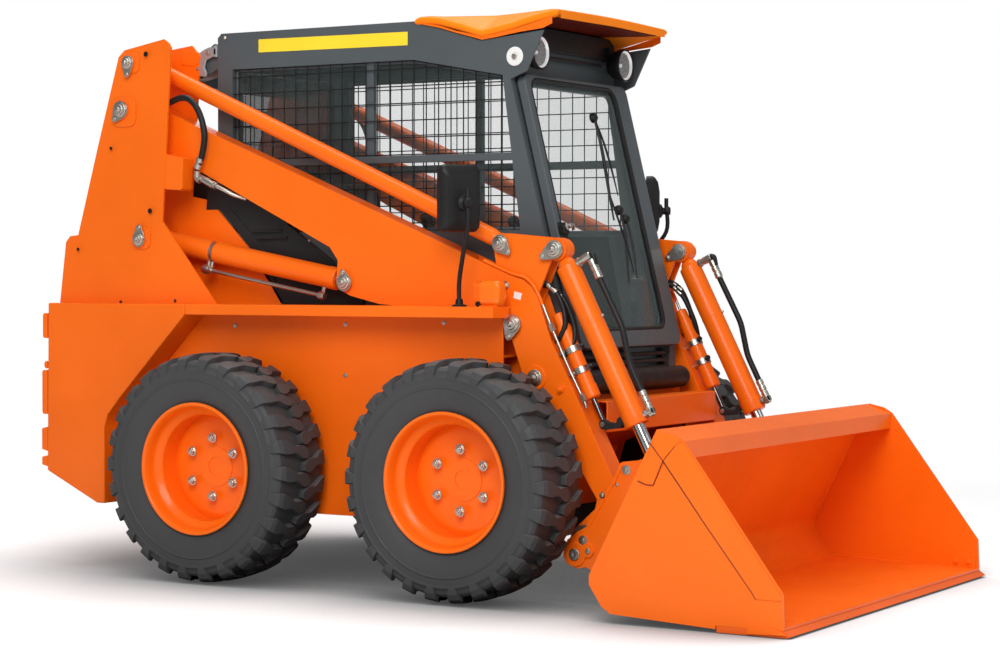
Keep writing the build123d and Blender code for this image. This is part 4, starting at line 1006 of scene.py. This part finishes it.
# louvres under the door and the step roll
sill = bmesh.new()
for i in range(5):
    z = 664 + 24 * i
    x = 1238 - (z - 660) * 0.25
    prism(sill, ((x, z), (x + 12, z + 3), (x + 8, z + 14), (x - 6, z + 16)), -300, 300)
for s in SIDES:
    prism(sill, ((1196, 656), (1234, 656), (1204, 785), (1180, 785)), s * 318, s * 304)
finish("sill_louvres", sill, black, bevel=1.5)
roll = bmesh.new()
profile = [(0, -352), (20, -352), (32, -347), (37.5, -336)]
profile += [(38.0 - 0.7 * (i % 2), -330 + 15 * i) for i in range(45)]
profile += [(37.5, 336), (32, 347), (20, 352), (0, 352)]
lathe(roll, at(1262, 686, 0), (0, 1, 0), profile, 40)
finish("step_roll_cover", roll, rubber, sharp=60, replaces="step_roll")

# ---------------------------------------------------------------- pins, keepers and bolts
def keeper(bm, x, z, y, s, r, dx, dz, small, thick=5.0):
    """A teardrop plate from a pin to its small bolt."""
    turn = atan2(dz, dx)
    lean = pi / 2 - atan2(r - small, hypot(dx, dz))
    points = []
    for i in range(17):
        a = turn + lean + (2 * pi - 2 * lean) * i / 16
        points.append((x + r * cos(a), z + r * sin(a)))
    for i in range(9):
        a = turn - lean + 2 * lean * i / 8
        points.append((x + dx + small * cos(a), z + dz + small * sin(a)))
    prism(bm, points, y, y + s * thick)
    bolt(bm, at(x + dx, z + dz, y + s * thick), (0, s, 0), 13, 10)


def pin_head(bm, x, z, y, s, r):
    """A turned pin head with its grease point."""
    lathe(bm, at(x, z, y), (0, s, 0), [(r, 0), (r, 4), (r - 2, 6), (r * 0.72, 6.4), (r * 0.7, 10),
        (r * 0.62, 12), (r * 0.34, 12.2), (r * 0.3, 15), (r * 0.2, 18), (0, 18)], 36)


pin_table = (
    # body, pivot, pin's end, head radius, keeper towards, keeper end radius
    ("chassis", "arm", TOWER_PIN_END, 27, (-25, -32), 11),
    ("chassis", "link_rear", TOWER_PIN_END, 21, (-2, -40), 11),
    ("chassis", "lift_foot", TOWER_PIN_END, 22, (2, 40), 11),
    ("arms", "lever", ARM_PIN_END, 26, (-12, -40), 12),
    ("arms", "lift_head", ARM_PIN_END, 24, (-4, 34), 10),
    ("levelling_levers", "tilt_head", LEVER_PIN_END, 25, (-42, -22), 11),
    ("levelling_levers", "link_front", LEVER_PIN_END, 24, (30, -28), 10),
)
pins = {}
for body, pivot, face, r, (dx, dz), small in pin_table:
    bm = pins.setdefault(body, bmesh.new())
    x, z = PIVOTS[pivot]
    for s in SIDES:
        keeper(bm, x, z, s * face, s, r + 5, dx, dz, small)
        pin_head(bm, x, z, s * (face + 5), s, r)
extra_bolts = (
    # body, x, z, face, across flats, washer radius
    ("arms", 1044, 1001, ARM_SIDE, 17, 15), ("chassis", 430, 870, TUB_SIDE, 9, 8),
    ("chassis", 430, 700, TUB_SIDE, 9, 8), ("chassis", -30, 860, TUB_SIDE, 9, 8),
    ("chassis", 820, 880, TUB_SIDE, 9, 8), ("chassis", 620, 640, TUB_SIDE, 9, 8),
)
for body, x, z, face, across, washer in extra_bolts:
    bm = pins.setdefault(body, bmesh.new())
    for s in SIDES:
        bolt(bm, at(x, z, s * face), (0, s, 0), across, washer)
arm_bosses, blank_stickers = meshes(2)
for s in SIDES:
    pin_head(pins["arms"], 1156, 708, s * (ARM_SIDE + 4), s, 27)
    lathe(arm_bosses, at(1156, 708, s * ARM_SIDE), (0, s, 0), [(40, 0), (40, 3), (38, 5), (0, 5)], 44)
    points = [(1250 + u, 673 + v) for u, v in ((-14, -12), (-4, -15), (10, -6), (16, 8), (8, 14), (-12, 10))]
    prism(arm_bosses, points, s * ARM_SIDE, s * (ARM_SIDE + 5))
    lathe(arm_bosses, at(1248, 673, s * (ARM_SIDE + 5)), (0, s, 0), [(8, 0), (8, 5), (6, 7), (0, 7)], 20)
    prism(blank_stickers, ((1078, 983), (1106, 976), (1100, 955), (1074, 962)), s * ARM_SIDE,
        s * (ARM_SIDE + 0.6))
    # low heads on the inner faces of the lever, clear of the open door
    for body, pivot, _, r, (dx, dz), small in pin_table[5:]:
        x, z = PIVOTS[pivot]
        keeper(pins[body], x, z, s * LEVER_PIN_INNER, -s, r + 3, dx, dz, small, 4.0)
        lathe(pins[body], at(x, z, s * LEVER_PIN_INNER), (0, -s, 0), [(r, 0), (r, 9), (r - 2, 11), (15, 11),
            (14, 12), (0, 12)], 36)
finish("arm_boss_rings", arm_bosses, orange, "arms", bevel=0.8, segs=1)
finish("arm_blank_stickers", blank_stickers, label, "arms", bevel=0.1, segs=1)
for body, bm in pins.items():
    finish(f"{body}_pins_and_bolts", bm, zinc, body, bevel=0.7, segs=1, angle=40)
bosses = bmesh.new()
for s in SIDES:
    for x, z, r in ((-474, 1604, 52), (-444, 1774, 36), (-397, 1162, 38)):
        points = [(x + u, z + v) for u, v in rounded(r, -r, r, r * 0.55, 5)]
        prism(bosses, points, s * TOWER_SIDE, s * (TOWER_SIDE + 6))
finish("tower_boss_plates", bosses, orange, bevel=2.5)

# ---------------------------------------------------------------- cylinders and their plumbing
def run(pair):
    """Unit side-view direction and the length between two pivots."""
    (ax, az), (bx, bz) = PIVOTS[pair[0]], PIVOTS[pair[1]]
    far = hypot(bx - ax, bz - az)
    return (bx - ax) / far, (bz - az) / far, far


def eye(bm, pivot, y, bore, r, width, segs=36):
    """A chamfered ring, or a pin if it has no bore, across a pivot."""
    x, z = PIVOTS[pivot]
    profile = [(bore, 0), (r - 1, 0), (r, 1), (r, width - 1), (r - 1, width), (bore, width)]
    lathe(bm, at(x, z, y - width / 2), (0, 1, 0), profile, segs, closed=bore > 0)


def beside(pair, along, out):
    """A side-view point along a run and out from it, forward or up."""
    ux, uz, _ = run(pair)
    x, z = PIVOTS[pair[0]]
    return x + ux * along - uz * out, z + uz * along + ux * out


def turned_along(bm, pair, y, profile, segs, along=0.0, out=0.0, closed=False):
    """A turned shape whose axis follows a run, starting at a point beside it."""
    ux, uz, _ = run(pair)
    lathe(bm, at(*beside(pair, along, out), y), (ux, 0, uz), profile, segs, closed)


LIFT = ("lift_foot", "lift_head")
TILT = ("tilt_head", "tilt_foot")
LINK = ("link_rear", "link_front")
LOCK = ("lock_head", "lock_foot")
lift_shell, lift_rings, tilt_shell, tilt_fittings, tilt_bends, link_shell = meshes(6)
for s in SIDES:
    y = s * ARM_Y
    # lift barrel: foot, tube, band and head
    turned_along(lift_shell, LIFT, y, [(0, 24), (24, 24), (33, 28), (37.5, 36), (37.5, 238), (36, 240),
        (33.5, 240), (33.5, 256), (36, 256), (37.5, 258), (37.5, 738), (38.8, 741), (38.8, 774), (36.5, 779),
        (24, 780), (24, 770), (0, 770)], 44)
    eye(lift_shell, "lift_foot", y, 20.5, 36, 36)
    turned_along(lift_rings, LIFT, y, [(34, 241.5), (36.3, 242), (36.3, 254), (34, 254.5)], 44, closed=True)
    # return pipe under the barrel
    side_tube(lift_rings, [beside(LIFT, d, -64) for d in (232, 300, 500, 736)], y + s * 22, 7, 12)
    for d, size in ((236, 14), (250, 11), (734, 12)):
        profile = [(size, -14), (size + 2, -8), (size + 2, 6), (size, 12)]
        turned_along(lift_rings, LIFT, y + s * 22, profile, 6 if size == 12 else 20, d, -64)
        side_tube(lift_rings, (beside(LIFT, d, -34), beside(LIFT, d, -64)), y + s * 14, 8, 10, False)
    # tilt barrel, with a port at each end
    turned_along(tilt_shell, TILT, y, [(0, 34), (18, 34), (26, 44), (30, 56), (37, 60), (38, 64), (38, 251),
        (39, 252.5), (39, 255.5), (38, 257), (38, 572), (39.6, 574), (39.6, 611), (37, 616), (21, 617),
        (21, 606), (0, 606)], 48)
    eye(tilt_shell, "tilt_head", y, 27.5, 38, 32, 40)
    for down, out in ((66, 84), (596, 60)):
        a, b = beside(TILT, down, 37), beside(TILT, down, out)
        profile = [(15, 0), (15, 9), (12, 11), (12, 20), (14, 22), (14, out - 34), (10, out - 30),
            (0, out - 30)]
        lathe(tilt_fittings, at(*a, y), at(*b, y) - at(*a, y), profile, 20)
    for down, out, size in ((112, 85.5, 13.5), (560, 60, 12.5)):
        crimp = size - 1.6
        profile = [(10.5, -34), (size, -32), (size, -18), (crimp, -16), (crimp, -12), (size, -10), (size, 4),
            (crimp, 6), (crimp, 10), (size, 12), (size, 30), (10.5, 33)]
        turned_along(tilt_fittings, TILT, y, profile, 24, down, out)
    bend = (beside(TILT, 62, 76), beside(TILT, 68, 96), beside(TILT, 88, 94), beside(TILT, 112, 85.5))
    side_tube(tilt_bends, bend, y, 9.5, 14)
    turned_along(tilt_fittings, TILT, y, [(12, -12), (12, 12), (9, 16), (0, 16)], 6, 596, 60)
    ux, uz, _ = run(TILT)
    lathe(tilt_fittings, at(*beside(TILT, 254, 38), y), (-uz, 0, ux), [(5, 0), (5, 6), (3, 9), (0, 9)], 12)
    # link tube between its two eyes
    far = run(LINK)[2]
    profile = [(20, 24), (24, 34), (28, 52), (28, far - 56), (24, far - 40), (20, far - 24)]
    turned_along(link_shell, LINK, y, profile, 40)
    for pivot in ("link_rear", "link_front"):
        eye(link_shell, pivot, y, 18.4, 32, 32)
finish("lift_barrel_shells", lift_shell, orange, "lift_barrels", sharp=35, replaces="lift_barrels")
finish("lift_barrel_pipes", lift_rings, zinc, "lift_barrels", sharp=35)
finish("tilt_barrel_shells", tilt_shell, orange, "tilt_barrels", sharp=35, replaces="tilt_barrels")
finish("tilt_hose_bends", tilt_bends, rubber, "tilt_barrels")
finish("tilt_barrel_fittings", tilt_fittings, zinc, "tilt_barrels", sharp=35)
finish("link_tube_shells", link_shell, orange, "link_tubes", sharp=35, replaces="link_tubes")

# lock cylinders, pipes and fittings on the arms
# two hoses a side, from the elbow to the arm: x, z and outwards from the arm's middle
ARM_HOSES = (
    ((1136, 1018, 9), (1172, 1010, 9.5), (1210, 984, 9.5), (1236, 938, 9.5), (1250, 884, 16), (1240, 846, 22),
    (1218, 822, 16)), ((1150, 1004, -9), (1190, 994, -9.5), (1228, 961, -9.5), (1258, 906, -8),
    (1275, 856, -2), (1274, 812, 12), (1246, 776, 20)),
)
lock_shell, arm_fittings, lock_rod, arm_hose_loops, painted_pipes, clevis = meshes(6)
for s in SIDES:
    y = s * ARM_Y
    # lock barrel and rod, with a banded port at each end
    far = run(LOCK)[2]
    turned_along(lock_shell, LOCK, y, [(0, 0), (14, 0), (18, 3), (19.5, 8), (19.5, 40), (24, 52), (24, 250),
        (26, 253), (26, 292), (23, 296), (0, 296)], 36)
    turned_along(lock_rod, LOCK, y, [(8, 290), (8, far - 6), (6, far - 2), (0, far - 2)], 20)
    for along, back in ((120, 38), (192, 36)):
        x0, z0 = beside(LOCK, along + 8, 0)
        x1, z1 = beside(LOCK, along + 8, -back)
        side_tube(arm_fittings, ((x0, z0), (x1, z1)), y, 9, 14, False)
        side_tube(arm_fittings, ((x0, z0, y - s * 4), (x1 + 2, z1 + 2, y + s * 34)), 0, 7, 12, False)
        band = [(24.2, -10), (27.5, -10), (27.5, 10), (24.2, 10)]
        turned_along(arm_fittings, LOCK, y, band, 36, along + 8, closed=True)
    # pipe down the outside of the arm's front edge
    side_tube(arm_fittings, ((1178, 946), (1222, 850), (1276, 740), (1330, 640), (1338, 618)), s * 470.5, 5,
        12)
    side_tube(painted_pipes, ((960, 1082, s * 470), (1060, 1042, s * 471), (1112, 1028, s * 471),
        (1144, 1004, s * 471), (1166, 970, s * 471), (1180, 940, s * 471)), 0, 5.5, 12)
    for x, z in ((1213, 868), (1326, 648)):
        lathe(arm_fittings, at(x, z, s * 468), (0.46, 0, -0.88), [(7, -14), (10, -12), (10, 12), (7, 14)], 6)
    # crimped ends of those hoses
    for x, z, shift, dx, dz in ((1199, 992, 9.5, 1, -0.75), (1209, 978, -9.5, 1, -0.85)):
        profile = [(8, -22), (9.3, -20), (9.3, -8), (8.8, -6), (8.8, -2), (9.3, 0), (9.3, 16), (8, 20)]
        lathe(arm_fittings, at(x, z, y + s * shift), (dx, 0, dz), profile, 18)
    for route in ARM_HOSES:
        side_tube(arm_hose_loops, [(x, z, y + s * out) for x, z, out in route], 0, 8.5, 14)
    # plugged ports on the barrel's bands
    for along in (128, 200):
        x0, z0 = beside(LOCK, along, 14)
        lathe(clevis, at(x0, z0, y - s * 4), (0.7, -s * 0.5, 0.6), [(11, -4), (11, 12), (9, 15), (9, 22),
            (7, 24), (0, 24)], 18)
    # clevis at the rod's end, with its two pins
    eye(clevis, "lock_foot", y, 0, 16, 18, 28)
    ex, ez = PIVOTS["lock_foot"]
    for side in (-13, 13):
        prism(clevis, ((ex - 9, ez + 12), (ex + 8, ez + 8), (ex + 44, ez + 4), (ex + 66, ez + 26),
            (ex + 76, ez + 18), (ex + 60, ez - 10), (ex + 12, ez - 16), (ex - 8, ez - 12)), y + side - 3,
            y + side + 3)
    eye(arm_fittings, "lock_foot", y, 0, 8, 40, 20)
    lathe(clevis, at(ex + 62, ez + 12, y - 12), (0, 1, 0), [(0, 0), (13, 0), (14, 1), (14, 23), (13, 24),
        (0, 24)], 24)
finish("arm_painted_pipes", painted_pipes, orange, "arms")
finish("arm_hose_loops", arm_hose_loops, rubber, "arms", replaces="arm_hoses")
finish("lock_clevises", clevis, black, "arms", bevel=1.0)
finish("lock_cylinder_shells", lock_shell, orange, "arms", sharp=35, replaces="lock_cylinders")
finish("lock_cylinder_rods", lock_rod, dark_chrome, "arms", sharp=35)
finish("arm_fittings", arm_fittings, zinc, "arms", sharp=35)

# tower hoses, between the tower and the boom
hoses, hose_ends = meshes(2)
for s in SIDES:
    points = ((-301, 1632), (-256, 1647), (-212, 1640), (-172, 1596), (-148, 1520), (-158, 1450),
        (-178, 1402))
    side_tube(hoses, points, s * 506, 11, 14)
    profile = [(11, -18), (14, -16), (14, -2), (12, 0), (12, 4), (14, 6), (14, 20), (10, 24)]
    lathe(hose_ends, at(-172, 1421, s * 506), (-0.36, 0, -0.93), profile, 22)
    side_tube(hose_ends, ((-184, 1392), (-186, 1372), (-170, 1358)), s * 500, 12, 14)
    side_tube(hose_ends, ((-196, 1376), (-160, 1362), (-120, 1342)), s * 492, 12, 14)
    side_tube(hose_ends, ((-130, 1347, s * 488), (-88, 1329, s * 482), (-48, 1308, s * 466),
        (-14, 1296, s * 446)), 0, 7, 12)
    for x, z in ((-122, 1343), (-150, 1356)):
        lathe(hose_ends, at(x, z, s * 485), (0.9, 0, -0.44), [(8, -11), (12.5, -9), (12.5, 9), (8, 11)], 6)
hose = finish("tower_hose_loops", hoses, rubber, None, replaces="tower_hoses")
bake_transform(hose)
finish("boom_pipes", hose_ends, zinc, "arms", sharp=35)

# ---------------------------------------------------------------- seat and levers
PAD_GAP = 14.0
CLOTH_FRAMES = 20
BLOW_LIMIT = 22.0


def soft_shape(name, outline_points, half_w):
    """A pad's closed starting shape: a side-view outline, in from its CAD space, with rounded sides."""
    bm = bmesh.new()
    cx = sum(p[0] for p in outline_points) / len(outline_points)
    cz = sum(p[1] for p in outline_points) / len(outline_points)
    rings = []
    for y, keep in ((-1.0, 0.8), (-0.96, 0.92), (-0.86, 1.0), (-0.45, 1.0), (0, 1.0), (0.45, 1.0),
            (0.86, 1.0), (0.96, 0.92), (1.0, 0.8)):
        ring = []
        for x, z in outline_points:
            inward = (1 - PAD_GAP / hypot(x - cx, z - cz)) * keep
            ring.append(at(cx + (x - cx) * inward, cz + (z - cz) * inward, y * (half_w - PAD_GAP)))
        rings.append(ring)
    loft(bm, rings)
    bmesh.ops.recalc_face_normals(bm, faces=bm.faces)
    mesh = bpy.data.meshes.new(name)
    bm.to_mesh(mesh)
    bm.free()
    obj = added(name, mesh)
    remesh = obj.modifiers.new("skin", "REMESH")
    remesh.mode = "VOXEL"
    remesh.voxel_size = 0.008
    skinned = baked(obj)
    obj.modifiers.clear()
    obj.data = skinned
    start = [v.co.copy() for v in skinned.vertices]
    cloth = obj.modifiers.new("stuffing", "CLOTH")
    cloth.settings.use_pressure = True
    cloth.settings.uniform_pressure_force = 4.0
    cloth.settings.effector_weights.gravity = 0.0
    cloth.settings.quality = 5
    cloth.point_cache.frame_start = 1
    cloth.point_cache.frame_end = CLOTH_FRAMES
    for step in range(1, CLOTH_FRAMES + 1):
        bpy.context.scene.frame_set(step)
    blown = baked(obj)
    obj.modifiers.clear()
    bpy.context.scene.frame_set(1)
    for v, old, new in zip(skinned.vertices, start, blown.vertices):
        move = new.co - old
        v.co = old + move * min(1.0, BLOW_LIMIT * MM / max(move.length, 1e-6))
    return obj


SEAM_DEPTH = 7.0
SEAM_WIDTH = 9.0


def sewn(obj, name, across, channels):
    for v in obj.data.vertices:
        value = v.co.dot(across) / MM
        dip = sum(SEAM_DEPTH * max(0.0, 1 - abs(value - c) / SEAM_WIDTH) ** 2 for c in channels)
        v.co -= v.normal * dip * MM
    for face in obj.data.polygons:
        face.use_smooth = True
    obj.data.materials.clear()
    obj.data.materials.append(vinyl)
    rounder = obj.modifiers.new("rounder", "SUBSURF")
    rounder.levels = rounder.render_levels = 1
    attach(obj, "chassis")
    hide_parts(name)


cushion_outline = [(105, 812), (120, 800), (560, 800), (575, 815), (575, 860), (560, 890), (500, 904),
    (340, 896), (180, 904), (115, 896)]
cushion = soft_shape("seat_cushion_pad", cushion_outline, 235)
sewn(cushion, "seat_cushion", Vector((0, 1, 0)), (-150, -50, 50, 150))
back_outline = [(100, 912), (188, 912), (194, 930), (170, 1040), (140, 1180), (100, 1360), (82, 1394),
    (20, 1397), (4, 1380), (20, 1290), (60, 1100)]
back_pad = soft_shape("seat_back_pad", back_outline, 225)
sewn(back_pad, "seat_back", Vector((0, 0, 1)), (990, 1080, 1170, 1260))

# seat suspension in its bellows, with the seat's slides and back frame
seat_frame = bmesh.new()
bellows = []
for i in range(7):
    z = 668 + 16 * i
    bellows += [(z, 0.88), (z + 8, 1.0)]
rings = []
for z, grow in [(660, 0.7)] + bellows + [(780, 0.7)]:
    rings.append([at(330 + u * grow, z, v * grow) for u, v in rounded(190, -180, 180, 40, 4)])
loft(seat_frame, rings)
for s in SIDES:
    slab(seat_frame, 130, 540, 782, 794, s * 150, s * 196)
    side_tube(seat_frame, ((60, 790), (52, 880), (20, 1080)), s * 120, 12, 12)
slab(seat_frame, 120, 540, 650, 662, -205, 205)
prism(seat_frame, ((30, 1010), (42, 1010), (30, 1090), (18, 1090)), -140, 140)
finish("seat_suspension", seat_frame, rubber, bevel=1.5, sharp=35, replaces="seat_base")

# control levers with bellows boots and moulded grips
levers, boots = meshes(2)
for s in SIDES:
    y = s * 290
    lathe(boots, at(660, 978, y), (0, 0, 1), [(44, 0), (44, 4), (40, 8), (34, 12), (37, 16), (29, 22),
        (32, 27), (23, 33), (26, 38), (17, 45), (13, 52), (0, 52)], 32)
    side_tube(levers, ((660, 1020, y), (660, 1080, y), (652, 1140, y), (640, 1178, y - s * 6)), 0, 8, 14)
    grip = [(12, 0), (19, 6), (21, 24), (18, 46), (21, 66), (23, 78), (18, 92), (8, 98), (0, 99)]
    lathe(boots, at(644, 1150, y - s * 4), (-0.28, 0, 0.96), grip, 28)
    lathe(levers, at(617, 1243, y - s * 4), (-0.28, 0, 0.96), [(7, 0), (7, 5), (5, 7), (0, 7)], 16)
finish("lever_boots", boots, rubber, sharp=50, replaces="control_levers")
finish("lever_rods", levers, zinc, sharp=50)

# ---------------------------------------------------------------- bucket plates and seams
side_plates, corner_bolts = meshes(2)
for s in SIDES:
    y0, y1 = s * BUCKET_SIDE, s * (BUCKET_SIDE + 3.5)
    prism(side_plates, ((1789, 493), (1812, 520), (1829, 541), (1851, 550), (2164, 124), (2166, 108),
        (2085, 108), (2074, 127), (1921, 321)), y0, y1)
    prism(side_plates, ((1706, 431), (1733, 421), (1755, 421), (1786, 492), (1812, 521), (1829, 542),
        (1849, 553), (1821, 570), (1767, 582)), y0, s * (BUCKET_SIDE + 2.2))
    prism(side_plates, ((2060, 6), (2060, 27), (2150, 27), (2184, 10)), y0, s * (BUCKET_SIDE + 5))
    # small gusset inside each lower front corner
    prism(side_plates, ((2066, 32), (2160, 30), (2160, 74), (2104, 84), (2066, 60)), s * 798, s * 804.8)
    for x, z in ((2092, 50), (2138, 50)):
        bolt(corner_bolts, at(x, z, s * 798), (0, -s, 0), 13, 11)
    for a, b in (((1557, 160), (1766, 575)), ((1620, 46), (1958, 31))):
        side_tube(side_plates, (a, b), s * 802, 4.5, 8, False)
seam_lines = (
    ((1741, 547), (1787, 492), (1920, 320), (2074, 127), (2086, 108)),
    ((1704, 430), (1733, 420), (1755, 420)),
    ((1755, 420), (1787, 492), (1826, 537)),
)
seams = bmesh.new()
for s in SIDES:
    for line in seam_lines:
        for a, b in zip(line, line[1:]):
            side_tube(seams, (a, b), s * (BUCKET_SIDE + 2.6), 1.7, 6, False)
finish("bucket_seams", seams, seam, "bucket")
finish("bucket_side_plates", side_plates, orange, "bucket", bevel=1.2)
finish("bucket_corner_bolts", corner_bolts, orange, "bucket", bevel=0.6, segs=1)

# studs and bosses of the hitch
stud_table = (
    # x, z, across flats, washer radius
    (1497, 431, 14, 15), (1464, 384, 8, 6), (1413, 347, 13, 11), (1343, 203, 14, 15),
)
hitch_studs, hitch_bosses = meshes(2)
for s in SIDES:
    y = s * HITCH_SIDE
    for x, z, across, washer in stud_table:
        bolt(hitch_studs, at(x, z, y), (0, s, 0), across, washer)
    lathe(hitch_bosses, at(1314, 157, y), (0, s, 0), [(40, 0), (40, 3), (38, 4.5), (24, 4.5), (22, 3),
        (0, 3)], 40)
    lathe(hitch_studs, at(1314, 157, y), (0, s, 0), [(19, 2), (19, 7), (17.5, 8.5), (6, 8.5), (5, 6), (0, 6)],
        32)
    lathe(hitch_bosses, at(1360, 172, y), (0, s, 0), [(25, 0), (25, 4), (23.5, 5.5), (12, 5.5), (12, 7),
        (0, 7)], 7)
    lathe(hitch_studs, at(1363, 170, y), (0, s, 0), [(9, 6), (9, 7.8), (7.5, 8.8), (0, 8.8)], 24)
    prism(hitch_bosses, ((1476, 452), (1452, 405), (1402, 327), (1358, 252), (1368, 246), (1413, 320),
        (1462, 398), (1488, 448)), y, y + s * 3)
finish("hitch_studs", hitch_studs, zinc, "bucket", bevel=0.6, segs=1)
finish("hitch_bosses", hitch_bosses, orange, "bucket", bevel=1.0)

# ---------------------------------------------------------------- towers, side panels, cab bracket
tower_holes = (
    # x, z, radius, distance from the centre line: the first four stand out with the pins' ends
    (-369, 1801, 9, TOWER_PIN_END), (-527, 1478, 6, TOWER_PIN_END),
    (-352, 1256, 9, TOWER_PIN_END), (-680, 1124, 6, TOWER_PIN_END),
    (-251, 944, 6, TOWER_SIDE), (-494, 938, 6, TOWER_SIDE), (-330, 1392, 6, BOX_SIDE),
)
pressed, slots, tower_parts, bracket, plugs = meshes(5)
for s in SIDES:
    prism(pressed, ((-178, 1268), (-130, 1268), (34, 1101), (88, 940), (96, 940), (-30, 1121)),
        s * PANEL_SIDE, s * (PANEL_SIDE + 3))
    prism(pressed, ((-236, 1262), (-228, 1330), (-160, 1345), (-60, 1300), (120, 1210), (60, 1200),
        (-120, 1262)), s * PANEL_SIDE, s * (PANEL_SIDE + 2.4))
    # each rib has a near-black strip under it: painted shade
    for x0, x1, z in ((-35, 94, 1184), (-14, 116, 1160)):
        side_tube(pressed, ((x0, z), (x1, z + 3)), s * (PANEL_SIDE + 1), 4.5, 10, False)
        prism(slots, ((x0 + 4, z - 12), (x1 - 2, z - 9), (x1 + 1, z - 3), (x0, z - 4)), s * PANEL_SIDE,
            s * (PANEL_SIDE + 0.8))
    # box under the boom, with its slanted top
    prism(tower_parts, ((-400, 1472), (-218, 1437), (-222, 1332), (-232, 1326), (-400, 1338)), s * 478,
        s * BOX_SIDE)
    # lug and cast bracket from the tower to the cab
    prism(tower_parts, ((-345, 1775), (-345, 1828), (-323, 1826), (-268, 1816), (-258, 1800), (-270, 1775),
        (-290, 1766)), s * 377, s * 388)
    prism(bracket, ((-309, 1749), (-294, 1763), (-280, 1791), (-270, 1812), (-246, 1825), (-224, 1832),
        (-194, 1828), (-191, 1806), (-211, 1797), (-238, 1786), (-245, 1762), (-235, 1741), (-238, 1728),
        (-290, 1735)), s * 374, s * 383)
    slab(bracket, -206, -191, 1796, 1836, s * 350, s * 383)
    for x, z in ((-273, 1757), (-228, 1811)):
        bolt(plugs, at(x, z, s * 383), (0, s, 0), 9, 8)
    # the holes are near-black discs: painted shade of their insides
    for x, z, r, face in tower_holes:
        lathe(slots, at(x, z, s * (face - 1)), (0, s, 0), [(r, 0), (r, 1.8), (r - 2, 2.0), (0, 0.6)], 20)

# ribbed cover over the valves, between the towers
cover = bmesh.new()
prism(cover, ((-408, 1296), (-212, 1296), (-212, 1404), (-240, 1420), (-392, 1420), (-408, 1404)), -340, 340)
for i in range(9):
    prism(cover, ((-380 + 18 * i, 1419), (-374 + 18 * i, 1424), (-368 + 18 * i, 1424), (-366 + 18 * i, 1419)),
        -300, 300)

# air grille above the rear door
rear_slats = bmesh.new()
slab(rear_slats, -738, -726, 930, 1018, -372, 372)
for i in range(5):
    z = 938 + 17 * i
    prism(rear_slats, ((-752, z), (-736, z + 8), (-736, z + 11), (-754, z + 3)), -368, 368)
for y in (-366, -122, 122, 366):
    slab(rear_slats, -754, -738, 930, 1018, y - 5, y + 5)
finish("rear_grille", rear_slats, black, bevel=0.8, segs=1)
finish("rear_valve_cover", cover, black, bevel=4.0, segs=3)
finish("side_panel_pressings", pressed, black, bevel=0.8)
finish("panel_and_tower_hole_shade", slots, wire_and_hole_shade_black, sharp=30)
finish("tower_boxes_and_lugs", tower_parts, orange, bevel=3.0, segs=3)
finish("cab_brackets", bracket, cast, bevel=3.0, segs=3)
finish("cab_bracket_bolts", plugs, zinc, bevel=0.6, segs=1)

# ---------------------------------------------------------------- rear: corner guards, lamps, door furniture
guards, lamp_shells, lamp_lenses, latch_cup = meshes(4)
for s in SIDES:
    for low, high, proud in ((808, 897, 20), (700, 726, 14), (537, 694, 24)):
        back = REAR_FACE - proud
        points = [(REAR_FACE, low), (back + 4, low), (back, low + 8), (back, high - 8), (back + 4, high),
            (REAR_FACE, high)]
        prism(guards, points, s * 560, s * 598)
    for low, high in ((405, 492), (350, 390)):
        prism(guards, ((REAR_FACE, low), (-812, low + 6), (-812, high - 6), (REAR_FACE, high)), s * 566,
            s * 598)
    for z, tall in ((764, 46), (612, 40)):
        prism(lamp_shells, ((-784, z - tall), (-796, z - tall + 4), (-796, z + tall - 4), (-784, z + tall)),
            s * 492, s * 548)
        prism(lamp_lenses, ((-795, z - tall + 8), (-802, z - tall + 12), (-802, z + tall - 12),
            (-795, z + tall - 8)), s * 498, s * 542)
door_parts = bmesh.new()
for i in range(8):
    z = 690 + 44 * (i - 3.5)
    prism(door_parts, ((-791, z + 9), (-803, z + 2), (-805, z - 4), (-802, z - 5), (-791, z + 2)), -276, 276)
cup = rounded(34, -52, 52, 14, 5)
layers = ((-791.5, 1.12), (-794, 1.1), (-794, 0.95), (-792, 0.9))
loft(latch_cup, [[at(x, 650 + w * k, 330 + v * k) for v, w in cup] for x, k in layers])
paddle = bmesh.new()
block(paddle, at(-796, 662, 330), (6, 44, 58))
lathe(paddle, at(-794, 618, 330), (-1, 0, 0), [(10, 0), (10, 5), (8, 7), (3, 7), (3, 4), (0, 4)], 24)
finish("rear_corner_guards", guards, orange, bevel=3.0, segs=3)
finish("rear_door_louvres", door_parts, orange, "rear_door", bevel=1.2)
finish("tail_lamp_shells", lamp_shells, plastic, bevel=2.0)
finish("tail_lamp_lenses", lamp_lenses, tail_red, bevel=2.5, segs=3)
finish("rear_latch_cup", latch_cup, black, "rear_door", bevel=1.0)
finish("rear_latch_paddle", paddle, zinc, "rear_door", bevel=2.0, segs=3)
